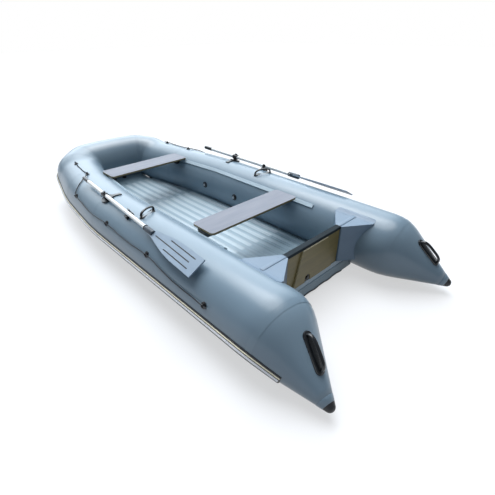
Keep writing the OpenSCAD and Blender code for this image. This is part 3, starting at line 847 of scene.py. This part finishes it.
@dataclass
class RubStrake:
    """Extruded rub strake: a wide white bead and a thin cream one between black edges.

    A row of its section has the share of the half width up from its middle, the share of its
    height off the tube, and the material slot of the strip that starts there.
    """

    lines: HullLines
    drop: float = 0.026
    half: float = 0.034
    proud: float = 0.021
    tail_s: float = 0.270
    rows: tuple[tuple[float, float, int], ...] = (
        (-1.00, -0.05, 0), (-1.00, 0.28, 0), (-0.62, 0.80, 0), (-0.22, 1.00, 0), (0.05, 0.96, 0),
        (0.08, 1.03, 1), (0.24, 0.90, 1), (0.42, 0.68, 0), (0.45, 0.54, 0), (0.54, 0.46, 0),
        (0.57, 0.58, 2), (0.65, 0.47, 2), (0.73, 0.34, 0), (0.76, 0.24, 0), (1.00, 0.16, 0),
        (1.00, -0.05, 0),
    )

    def place(self, u: float, o: float, r: float) -> Pair:
        """Place of a point of the section on a tube of a given radius."""
        up = -self.drop * r / self.lines.tube_r + u * self.half
        return math.sqrt(r**2 - up**2) + o * self.proud, up

    def build(self) -> None:
        """Builds the strake of each side."""
        cone_r = self.lines.cone_r(self.tail_s)
        made = []
        for u, o, _ in self.rows:
            tail = self.lines.on_tail(self.tail_s, self.place(u, o, cone_r))
            corners = self.lines.at_joints(tail, self.place(u, o, self.lines.tube_r))
            made.append(self.lines.rounded(corners))
        for side, flip in SIDES:
            obj = loft(side + "_strake_beads", mirrored(made, flip), tuple(slot for _, _, slot in self.rows))
            smooth_by_angle(obj, STRAKE_SHADE)
            settle(obj, HULL, BLACK_RUBBER_AND_GROOVE_SHADE, WHITE_BEAD, CREAM_BEAD)
            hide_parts(side + "_rub_strake")


@dataclass
class Lifeline:
    """Rope through the eyelets of one side, along the same route as its solid.

    A point of the route has its x in mm, its turn round the tube in degrees, outwards from the top,
    and its height over the skin in mm.
    """

    lines: HullLines
    rope_d: float = 0.008
    rope_steps: int = 3
    route: tuple[Point, ...] = (
        (1440, 12, 13), (1400, 12, 13), (1360, 12, 12), (1300, 11, 8), (1220, 9, 7), (1140, 7, 7),
        (1090, 6, 8), (1050, 5, 12), (1010, 5, 13), (975, 7, 13), (945, 14, 9), (915, 24, 7),
        (885, 36, 7), (860, 47, 8), (835, 55, 12), (808, 58, 13), (770, 58, 12), (700, 59, 8),
        (600, 60, 7), (450, 61, 7), (370, 60, 9), (330, 60, 9), (260, 60, 7), (190, 59, 8),
        (130, 58, 12), (90, 58, 13), (50, 58, 12), (-20, 59, 8), (-120, 61, 7), (-230, 62, 7),
        (-340, 62, 7), (-440, 61, 8), (-505, 60, 12), (-545, 60, 13), (-585, 60, 12), (-650, 62, 8),
        (-760, 66, 7), (-880, 69, 7), (-1000, 70, 7), (-1110, 70, 8), (-1175, 70, 12), (-1215, 70, 13),
        (-1250, 70, 13),
    )

    def build(self) -> None:
        for side, flip in SIDES:
            points = [self.lines.on_skin(x * MM, turn, h * MM) * flip for x, turn, h in self.route]
            data = bpy.data.curves.new(side + "_rope", "CURVE")
            data.dimensions = "3D"
            data.bevel_depth = self.rope_d / 2
            data.bevel_resolution = self.rope_steps
            data.use_fill_caps = True
            spline = data.splines.new("POLY")
            spline.points.add(len(points) - 1)
            for point, at in zip(spline.points, points):
                point.co = (*at, 1.0)
            rope = bpy.data.objects.new(side + "_rope", data)
            bpy.context.scene.collection.objects.link(rope)
            data.materials.append(ROPE_BRAID.material())
            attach(rope, HULL)
            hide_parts(side + "_lifeline")


@dataclass
class OarTrim:
    """Painted shade in the blades' grooves, as thin black boxes at their bottoms, and the collar and sleeve
    where each shaft enters its blade.

    A groove has the shares of the blade's length where it starts and ends, and its share of the
    blade's half width off the middle.
    """

    lines: HullLines
    lock_x: float = 0.305
    lock_turn_deg: float = 18.0
    oar_turn_deg: float = 3.5
    dip_deg: float = 1.5
    oar_h: float = 0.044
    root: float = 0.790
    blade_l: float = 0.600
    blade_w: float = 0.142
    blade_t: float = 0.010
    roll_deg: float = 12.0
    groove_w: float = 0.008
    groove_t: float = 0.0025
    grooves: tuple[Point, ...] = ((0.42, 0.9, -0.55), (0.16, 0.86, 0.0), (0.42, 0.9, 0.55))
    # Heights of the groove-shade boxes over the grooves' bottoms, and their set-in from the grooves' sides
    # and ends.
    groove_shade_z: Pair = (1e-4, 8e-4)
    groove_shade_gap: float = 2e-4
    shaft_d: float = 0.032
    sleeve_x: Pair = (-0.852, -0.7485)
    sleeve_r: float = 0.0227
    sleeve_edge: float = 0.004
    collar_x: float = 0.055
    collar_over: float = 0.0022
    collar_r: float = 0.004
    collar_sides: int = 12

    def axis_frame(self) -> Matrix:
        """Finds the port oar's axis.

        Returns:
            Frame at the oarlock, X along the oar.
        """
        base = Matrix.Translation((self.lock_x, self.lines.axis_y, self.lines.tube_r))
        turn = Matrix.Rotation(math.radians(-self.oar_turn_deg), 4, "Z")
        lean = Matrix.Rotation(math.radians(-self.lock_turn_deg), 4, "X")
        lift = Matrix.Translation((0, 0, self.lines.tube_r + self.oar_h))
        return base @ turn @ lean @ lift @ Matrix.Rotation(math.radians(-self.dip_deg), 4, "Y")

    def groove_shade_boxes(self) -> tuple[list[Vector], list[list[int]]]:
        """Gives the thin black boxes at the grooves' bottoms that paint their shade, in the blade's own
        frame.

        Returns:
            Points and faces.
        """
        verts: list[Vector] = []
        faces: list[list[int]] = []
        low, high = (self.blade_t / 2 - self.groove_t + z for z in self.groove_shade_z)
        half = self.groove_w / 2 - self.groove_shade_gap
        for near, far, across in self.grooves:
            mid = across * self.blade_w / 2
            ends = (-far * self.blade_l + self.groove_shade_gap, -near * self.blade_l - self.groove_shade_gap)
            for heights in ((low, high), (-high, -low)):
                k = len(verts)
                verts += [Vector((x, mid + y, z)) for x in ends for y in (-half, half) for z in heights]
                faces += [[k + i for i in face] for face in BOX_FACES]
        return verts, faces

    def build(self) -> None:
        """Builds the painted groove shade, the collar and the sleeve of each oar."""
        axis = self.axis_frame()
        roll = Matrix.Rotation(math.radians(-self.roll_deg), 4, "X")
        blade = axis @ Matrix.Translation((-self.root, 0, 0)) @ roll
        verts, faces = self.groove_shade_boxes()
        for side, flip in SIDES:
            mirror = Matrix.Diagonal((*flip, 1))
            placed = [mirror @ blade @ v for v in verts]
            # Thin black boxes at the grooves' bottoms: painted shade in the grooves.
            obj = mesh_object(side + "_blade_groove_shade", placed, faces, smooth=False)
            settle(obj, side + "_oar", BLACK_RUBBER_AND_GROOVE_SHADE)
            self.collar(side, mirror @ axis @ Matrix.Translation((self.collar_x - self.root, 0, 0)))
            self.sleeve(side, [mirror @ axis @ Vector((x, 0, 0)) for x in self.sleeve_x])

    def sleeve(self, side: str, ends: list[Vector]) -> None:
        """Turns the dark rounded sleeve over the blade's neck.

        Args:
            side: Name of the side.
            ends: Middles of its two ends.
        """
        way, middle = ends[1] - ends[0], (ends[0] + ends[1]) / 2
        obj = rounded_cylinder(
            side + "_neck_sleeve", middle, way, self.sleeve_r, way.length, self.sleeve_edge
        )
        settle(obj, side + "_oar", NECK_RUBBER)

    def collar(self, side: str, at: Matrix) -> None:
        """Turns a rounded ring on the shaft.

        Args:
            side: Name of the side.
            at: Frame of the ring, X along the shaft.
        """
        deselect()
        way = (at.to_3x3() @ Vector((1, 0, 0))).normalized()
        bpy.ops.mesh.primitive_torus_add(
            major_radius=self.shaft_d / 2 + self.collar_over,
            minor_radius=self.collar_r,
            major_segments=ROUND_SIDES,
            minor_segments=self.collar_sides,
            location=at @ Vector((0, 0, 0)),
            rotation=way.to_track_quat("Z", "Y").to_euler(),
        )
        obj = bpy.context.object
        obj.name = side + "_shaft_collar"
        bpy.ops.object.shade_smooth()
        settle(obj, side + "_oar", BLACK_NYLON)


@dataclass
class GrabHandle:
    """Moulded grab handle: a long base with round ends and an arched grip over it.

    A level of the base has its height and how far its outline is set in there.
    """

    name: str
    spot: Callable[[float, float, float], Vector]
    length: float
    base_r: float
    rise: float
    grip: Pair
    levels: tuple[Pair, ...] = ((-0.006, 0.0), (0.00405, 0.0), (0.0072, 0.0015), (0.009, 0.005))
    foot_share: float = 0.72
    end_power: float = 0.55
    top_power: float = 0.8
    steps: int = 40
    grip_sides: int = 16

    def base_rows(self) -> Rows:
        """Lays out the base.

        Returns:
            Lines up its rounded outline.
        """
        half = self.length / 2 - self.base_r
        rows = []
        for c, d in circle(self.steps, 0.5):
            end = math.copysign(half, c)
            radii = [(self.base_r - inset, z) for z, inset in self.levels]
            rows.append([self.spot(end + r * c, r * d, z) for r, z in radii])
        return rows

    def grip_rows(self) -> Rows:
        """Lays out the grip.

        Returns:
            Lines along the arch, from one end of the base to the other.
        """
        half = self.length / 2 - self.base_r * self.foot_share
        path = []
        for i in range(self.steps + 1):
            a = math.pi * i / self.steps
            along = math.copysign(abs(math.cos(a)) ** self.end_power, math.cos(a)) * half
            path.append(Vector((along, abs(math.sin(a)) ** self.top_power * self.rise)))
        rows = []
        for c, d in circle(self.grip_sides):
            across, thick = self.grip[0] * c, self.grip[1] * d
            row = []
            for i, point in enumerate(path):
                way = (path[max(i - 1, 0)] - path[min(i + 1, self.steps)]).normalized()
                row.append(self.spot(point.x - way.y * thick, across, point.y + way.x * thick))
            rows.append(row)
        return rows

    def build(self) -> None:
        """Builds the handle of each side."""
        base, grip = self.base_rows(), self.grip_rows()
        for side, flip in SIDES:
            foot = loft(f"{side}_{self.name}_base", mirrored(base, flip))
            smooth_by_angle(foot, HANDLE_SHADE)
            settle(foot, HULL, HANDLE_NYLON)
            bar = loft(f"{side}_{self.name}_grip", mirrored(grip, flip))
            settle(bar, HULL, HANDLE_NYLON)
            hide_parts(f"{side}_{self.name}_handle")


@dataclass
class CarryHandles:
    """Grab handles on the tube tops, their inner ends turned forward."""

    lines: HullLines
    at_x: float = -0.200
    turn_deg: float = -3.0
    slant_deg: float = 26.0
    length: float = 0.184
    base_r: float = 0.020
    rise: float = 0.042
    grip: Pair = (0.0105, 0.0075)

    def spot(self, along: float, across: float, height: float) -> Vector:
        """Lays a place of the handle round the port tube.

        Args:
            along: Distance along the handle, to its inner end.
            across: Distance across it, forward.
            height: Height over the skin.

        Returns:
            The point, in metres.
        """
        slant = math.radians(self.slant_deg)
        x = self.at_x + along * math.sin(slant) + across * math.cos(slant)
        outward = across * math.sin(slant) - along * math.cos(slant)
        return self.lines.on_skin(x, self.turn_deg + math.degrees(outward / self.lines.tube_r), height)

    def build(self) -> None:
        """Builds the handles."""
        GrabHandle("carry", self.spot, self.length, self.base_r, self.rise, self.grip).build()


@dataclass
class TailTrim:
    """Grab handles on the tail cones and the fabric hem over the tail caps' rims.

    A level of the hem has its distance from the cap's rim, or from the hem's end, and its height
    over the cone.
    """

    lines: HullLines
    at_s: float = 0.268
    turn_deg: float = 10.0
    length: float = 0.232
    base_r: float = 0.030
    rise: float = 0.045
    grip: Pair = (0.0125, 0.0085)
    hem_end: float = 0.008
    rim_levels: tuple[Pair, ...] = ((-0.006, 0.0003), (-0.001, 0.0016))
    end_levels: tuple[Pair, ...] = ((0.0, 0.0018), (0.0004, 0.0006))
    hem_sides: int = 64

    def spot(self, along: float, across: float, height: float) -> Vector:
        """Lays a place of the handle on the port tail's cone.

        Args:
            along: Distance along the handle, forward.
            across: Distance across it.
            height: Height over the cone.

        Returns:
            The point, in metres.
        """
        run, turn, a = self.lines.runs[0], math.radians(self.turn_deg), self.lines.tail_a
        radial = run.up * math.cos(turn) - run.out * math.sin(turn)
        middle = self.lines.stern + self.lines.tail_dir * self.at_s + radial * self.lines.cone_r(self.at_s)
        ahead = run.ahead * math.cos(a) + radial * math.sin(a)
        normal = radial * math.cos(a) - run.ahead * math.sin(a)
        return middle + ahead * along + normal.cross(ahead) * across + normal * height

    def hem_rows(self) -> Rows:
        """Lays out the hem that laps over the cap's rim.

        Returns:
            Lines along the cone.
        """
        rim = self.lines.tail_l - self.lines.cap_len
        end = self.lines.tail_l - self.hem_end
        levels = [(rim + s, h) for s, h in self.rim_levels] + [(end + s, h) for s, h in self.end_levels]
        radii = [(s, self.lines.cone_r(s) + h) for s, h in levels]
        return [
            [self.lines.on_tail(s, (r * c, r * d)) for s, r in radii] for c, d in circle(self.hem_sides)
        ]

    def build(self) -> None:
        """Builds the handles and the hems."""
        GrabHandle("tail", self.spot, self.length, self.base_r, self.rise, self.grip).build()
        hem = self.hem_rows()
        for side, flip in SIDES:
            lap = loft(side + "_tail_hem", mirrored(hem, flip), closed_ends=False)
            settle(lap, HULL, TUBE_PVC)


@dataclass
class Valves:
    """Light caps on the tubes' air valves and the floor's own valve at the bow.

    A place has its x and its turn round the tube in degrees, outwards from the top.
    """

    lines: HullLines
    places: tuple[Pair, ...] = ((0.458, -86.0), (-0.032, -88.0))
    flange_h: float = 0.014
    cap_r: float = 0.013
    cap_h: float = 0.006
    floor_at: Point = (1.630, -0.030, 0.1343)
    floor_r: float = 0.027
    floor_h: float = 0.008
    floor_cap_share: float = 0.55
    edge_share: float = 0.4

    def disc(self, name: str, at: Vector, way: Vector, r: float, h: float, finish: Finish) -> None:
        """Turns a low rounded disc that stands on the hull's surface.

        Args:
            name: Name of the piece.
            at: Middle of its foot.
            way: Direction that it stands in.
            r: Radius.
            h: Height.
            finish: Its finish.
        """
        obj = rounded_cylinder(name, at + way * (h / 2), way, r, h, h * self.edge_share)
        settle(obj, HULL, finish)

    def build(self) -> None:
        """Builds the caps of both sides and the floor's valve."""
        for k, (x, turn) in enumerate(self.places):
            at, way = self.lines.on_skin(x, turn, self.flange_h), self.lines.skin_normal(x, turn)
            for side, flip in SIDES:
                name = f"{side}_valve_cap_{k + 1}"
                self.disc(name, at * flip, way * flip, self.cap_r, self.cap_h, GREY_NYLON)
        up, foot = self.lines.bow_up, Vector(self.floor_at)
        self.disc("floor_valve", foot, up, self.floor_r, self.floor_h, BLACK_NYLON)
        cap_r = self.floor_r * self.floor_cap_share
        self.disc("floor_valve_cap", foot + up * self.floor_h, up, cap_r, self.cap_h, BLACK_NYLON)


@dataclass
class TransomTrim:
    """Fabric over the transom's ends, the motor pad's pale sawn top edge (partly painted light) and a dark
    wavy strip along the foot of the floor's tail.

    An end of the flange has its share of the length and of the width. Its section runs over the
    holder's top in y and z, over the tube in shares of the width and heights, and back underneath.
    """

    lines: HullLines
    flange_x: Pair = (-1.488, -1.150)
    flange_w: float = 0.034
    flange_start_deg: float = 58.2
    flange_ends: tuple[Pair, ...] = (
        (0.0, 0.3), (0.012, 0.7), (0.035, 1.0), (0.965, 1.0), (0.988, 0.7), (1.0, 0.3)
    )
    flange_top: tuple[Pair, ...] = ((0.496, 0.4553), (0.498, 0.4560), (0.516, 0.4562))
    flange_tube: tuple[Pair, ...] = (
        (0.12, 0.0017), (0.6, 0.0016), (0.94, 0.0015), (1.0, 0.0004), (1.0, -0.001), (0.5, -0.001)
    )
    flange_under: tuple[Pair, ...] = ((0.520, 0.4500), (0.496, 0.4500))
    aft_x: float = -1.335
    thick: float = 0.030
    top_z: float = 0.458
    cover_y: Pair = (0.299, 0.515)
    cover_t: float = 0.0008
    cover_drop: float = 0.0065
    pad_half: float = 0.141
    pad_x: Pair = (-0.0124, -0.001)
    pad_z: Pair = (0.4298, 0.4332)
    plate_edge: float = 0.35
    plate_steps: int = 2
    # Dark wavy strip along the foot of the floor's tail: its place, half width, height, wave height and
    # length, steps per half, and section.
    floor_x: float = -1.345
    foot_strip_half: float = 0.395
    foot_strip_z: float = 0.025
    foot_strip_wave: float = 0.005
    foot_strip_pitch: float = 0.17
    foot_strip_steps: int = 48
    foot_strip_outline: tuple[Pair, ...] = (
        (0.0003, -0.005), (-0.003, -0.005), (-0.0045, 0.0), (-0.003, 0.005), (0.0003, 0.005)
    )

    def plate(self, name: str, low: Point, high: Point, finish: Finish) -> None:
        """Makes a thin plate with rounded edges.

        Args:
            name: Name of the piece.
            low: Lowest corner.
            high: Highest corner.
            finish: Its finish.
        """
        deselect()
        size = Vector(high) - Vector(low)
        bpy.ops.mesh.primitive_cube_add(size=1.0, location=(Vector(high) + Vector(low)) / 2)
        bpy.context.object.scale = size
        bpy.ops.object.transform_apply(location=False, rotation=False, scale=True)
        settle(round_edges(name, min(size) * self.plate_edge, self.plate_steps), HULL, finish)

    def build(self) -> None:
        """Builds the covers, the flanges, the pad's lit top edge and the dark strip at the floor's foot."""
        for side, flip in SIDES:
            ends = sorted(flip.y * y for y in self.cover_y)
            low = (self.aft_x - self.cover_t, ends[0], self.top_z - self.cover_drop)
            high = (self.aft_x + self.thick + self.cover_t, ends[1], self.top_z + self.cover_t)
            self.plate(side + "_holder_cover", low, high, HOLDER_PVC)
            self.flange(side, flip)
        # A pale plate on the pad's top edge alone: real sawn ply, made paler than the pad's other edges as
        # painted light.
        low, high = zip((self.aft_x + x for x in self.pad_x), (-self.pad_half, self.pad_half), self.pad_z)
        self.plate("motor_pad_lit_top_edge", low, high, SAWN_PLY_AND_LIGHT)
        self.hem()

    def flange(self, side: str, flip: Vector) -> None:
        """Lays the glued flange that runs from a holder's top onto its tube.

        Args:
            side: Name of the side.
            flip: Mirror of that side.
        """
        r, start = self.lines.tube_r, math.radians(self.flange_start_deg)
        aft, fore = self.flange_x
        stations = [(aft + (fore - aft) * along, share) for along, share in self.flange_ends]

        def on_tube(turn_share: float, height: float) -> list[Vector]:
            """Gives a line along the tube.

            Args:
                turn_share: Share of the flange's width.
                height: Height over the skin.

            Returns:
                Points of the line.
            """
            made = []
            for x, share in stations:
                turn = start + turn_share * share * self.flange_w / r
                y = self.lines.axis_y - (r + height) * math.cos(turn)
                made.append(Vector((x, y, r + (r + height) * math.sin(turn))))
            return made

        def on_top(y: float, z: float) -> list[Vector]:
            """Gives a line along the holder's top."""
            return [Vector((x, y, z)) for x, _ in stations]

        rows = [on_top(*place) for place in self.flange_top]
        rows += [on_tube(*place) for place in self.flange_tube]
        rows += [on_top(*place) for place in self.flange_under]
        obj = loft(side + "_holder_flange", mirrored(rows, flip))
        smooth_by_angle(obj, FITTING_SHADE)
        settle(obj, HULL, HOLDER_PVC)

    def hem(self) -> None:
        """Lays a dark wavy strip along the foot of the floor's tail."""
        across = [self.foot_strip_half * (i / self.foot_strip_steps - 1) for i in range(2 * self.foot_strip_steps + 1)]
        waves = [self.foot_strip_wave * math.sin(2 * math.pi * y / self.foot_strip_pitch) for y in across]
        lines = [
            [Vector((self.floor_x + out, y, self.foot_strip_z + up + wave)) for y, wave in zip(across, waves)]
            for out, up in self.foot_strip_outline
        ]
        obj = loft("floor_foot_strip", lines)
        smooth_by_angle(obj, FITTING_SHADE)
        settle(obj, HULL, BLACK_RUBBER_AND_GROOVE_SHADE)


@dataclass
class CadFinishes:
    """Finishes of the CAD nodes, by the ends of their names."""

    endings: tuple[tuple[str, Finish], ...] = (
        ("_tube", TUBE_PVC),
        ("_holder", HOLDER_PVC),
        ("air_floor", FLOOR_PVC),
        ("floor_seal", STRIP_PVC),
        ("_seat_rail", STRIP_PVC),
        ("_seat_board", SEAT_PLY),
        ("transom_board", TRANSOM_PLY),
        ("motor_pad", TRANSOM_PLY),
        ("transom_cap", EDGE_RUBBER),
        ("drain_plug", BLACK_RUBBER_AND_GROOVE_SHADE),
        ("_tail_cap", BLACK_RUBBER_AND_GROOVE_SHADE),
        ("_rub_strake", BLACK_RUBBER_AND_GROOVE_SHADE),
        ("_oar_shaft", SHAFT_COAT),
        ("_oar_blade", BLADE_PP),
    )
    rest: Finish = BLACK_NYLON

    def build(self) -> None:
        """Dresses each node by its name."""
        for name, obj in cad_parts.items():
            self.finish_of(name).dress(obj)
            LOG.info("node %s: %s", name, obj.data.materials[0].name)

    def finish_of(self, name: str) -> Finish:
        """Gives the finish that a node shows."""
        found = (finish for ending, finish in self.endings if name.endswith(ending))
        return next(found, self.rest)


@dataclass
class Studio:
    """Plain white floor and backdrop, soft overhead light, and the camera at the photograph's angle.

    A sun has its name, the direction that it shines from, its angle in degrees and its strength.
    """

    camera_at: Point = (-2.5583, 1.7901, 1.7008)
    yaw_deg: float = -43.18
    pitch_deg: float = -31.43
    roll_deg: float = -0.69
    focal_px: float = 356.3
    floor_half: float = 40.0
    floor_z: float = -0.002
    floor_matte: str = "9A9CA0"
    glow: float = 0.58
    sky: str = "E2ECF4"
    horizon: float = 0.28
    zenith: float = 0.36
    zenith_from: float = 0.9
    panel_dir: Point = (0.80, -0.42, 0.42)
    panel: float = 4.2
    panel_rim: Pair = (0.62, 0.95)
    panel_foot: Pair = (0.02, 0.26)
    suns: tuple[tuple[str, Point, float, float], ...] = (
        ("broad_overhead_light", (0.30, -0.16, 1.0), 48.0, 2.5),
        ("highlight_light", (0.50, -0.30, 1.0), 20.0, 0.3),
    )

    def build(self) -> None:
        """Builds floor, world, lamps and camera."""
        self.floor()
        self.world()
        self.lamps()
        self.camera()

    def floor(self) -> None:
        """Lays a floor that looks white and keeps the object's shadow."""
        deselect()
        bpy.ops.mesh.primitive_plane_add(size=2 * self.floor_half, location=(0, 0, self.floor_z))
        floor = bpy.context.object
        floor.name = "studio_floor"
        made = bpy.data.materials.new("white_studio_floor")
        made.use_nodes = True
        tree = made.node_tree
        tree.nodes.clear()
        strength = {"Strength": self.seen(tree, self.glow)}
        glow = add_node(tree, "ShaderNodeEmission", values={"Color": (1, 1, 1, 1)}, links=strength)
        matte = add_node(tree, "ShaderNodeBsdfDiffuse", values={"Color": linear(self.floor_matte)})
        both = add_node(
            tree, "ShaderNodeAddShader", links={0: glow.outputs["Emission"], 1: matte.outputs["BSDF"]}
        )
        add_node(tree, "ShaderNodeOutputMaterial", links={"Surface": both.outputs["Shader"]})
        floor.data.materials.append(made)

    @staticmethod
    def seen(tree: Tree, strength: float) -> Socket:
        """Limits a strength to rays from the camera and from shiny and clear surfaces.

        Args:
            tree: Node tree of the material.
            strength: Strength for those rays.

        Returns:
            Socket with the strength, 0 for all other rays.
        """
        path = add_node(tree, "ShaderNodeLightPath").outputs
        first = maths(tree, "MAXIMUM", path["Is Camera Ray"], path["Is Glossy Ray"])
        either = maths(tree, "MAXIMUM", first, path["Is Transmission Ray"])
        return maths(tree, "MULTIPLY", either, strength)

    def world(self) -> None:
        """Lights the scene from overhead and from a soft panel ahead; the camera sees plain white."""
        world = bpy.data.worlds.new("pale_studio")
        bpy.context.scene.world = world
        world.use_nodes = True
        tree = world.node_tree
        tree.nodes.clear()
        place = add_node(tree, "ShaderNodeTexCoord").outputs["Generated"]
        height = add_node(tree, "ShaderNodeSeparateXYZ", links={"Vector": place}).outputs["Z"]
        level = remap(tree, height, (0.0, self.zenith_from), (self.horizon, self.zenith))
        way = {1: Vector(self.panel_dir).normalized()}
        facing = add_node(tree, "ShaderNodeVectorMath", {"operation": "DOT_PRODUCT"}, way, {0: place})
        panel = remap(tree, facing.outputs["Value"], self.panel_rim, (0.0, self.panel), soft=True)
        hung = maths(tree, "MULTIPLY", remap(tree, height, self.panel_foot), panel)
        total = {"Strength": maths(tree, "ADD", level, hung)}
        sky = add_node(tree, "ShaderNodeBackground", values={"Color": linear(self.sky)}, links=total)
        white = add_node(tree, "ShaderNodeBackground", values={"Color": (1, 1, 1, 1), "Strength": 1.0})
        is_camera = add_node(tree, "ShaderNodeLightPath").outputs["Is Camera Ray"]
        links = {0: is_camera, 1: sky.outputs["Background"], 2: white.outputs["Background"]}
        mix = add_node(tree, "ShaderNodeMixShader", links=links)
        add_node(tree, "ShaderNodeOutputWorld", links={"Surface": mix.outputs["Shader"]})

    def lamps(self) -> None:
        """Hangs a broad overhead light and a smaller one that draws the highlights."""
        for name, source, angle, strength in self.suns:
            data = bpy.data.lights.new(name, "SUN")
            data.angle = math.radians(angle)
            data.energy = strength
            lamp = bpy.data.objects.new(name, data)
            lamp.rotation_euler = (-Vector(source)).to_track_quat("-Z", "Y").to_euler()
            bpy.context.scene.collection.objects.link(lamp)

    def camera(self) -> None:
        """Sets the camera that was fitted to the photograph."""
        yaw, pitch, roll = (math.radians(a) for a in (self.yaw_deg, self.pitch_deg, self.roll_deg))
        look = Vector((math.cos(pitch) * math.cos(yaw), math.cos(pitch) * math.sin(yaw), math.sin(pitch)))
        right = look.cross(Vector((0, 0, 1))).normalized()
        up = right.cross(look)
        x = right * math.cos(roll) + up * math.sin(roll)
        y = up * math.cos(roll) - right * math.sin(roll)
        data = bpy.data.cameras.new("photo_camera")
        data.sensor_width = SENSOR_MM
        data.lens = self.focal_px / IMAGE_PX * SENSOR_MM
        camera = bpy.data.objects.new("photo_camera", data)
        turn = Matrix((x, y, -look)).transposed().to_4x4()
        camera.matrix_world = Matrix.Translation(self.camera_at) @ turn
        bpy.context.scene.collection.objects.link(camera)
        bpy.context.scene.camera = camera


def main() -> None:
    """Builds the boat's looks in order."""
    logging.basicConfig(level=logging.INFO, format="%(message)s")
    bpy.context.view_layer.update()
    bpy.context.scene.view_settings.view_transform = "Standard"
    Studio().build()
    lines = HullLines()
    CadFinishes().build()
    Lifeline(lines).build()
    TubeSkin(lines).build()
    RubStrake(lines).build()
    OarTrim(lines).build()
    CarryHandles(lines).build()
    TailTrim(lines).build()
    Valves(lines).build()
    TransomTrim(lines).build()


if __name__ == "__main__":
    main()
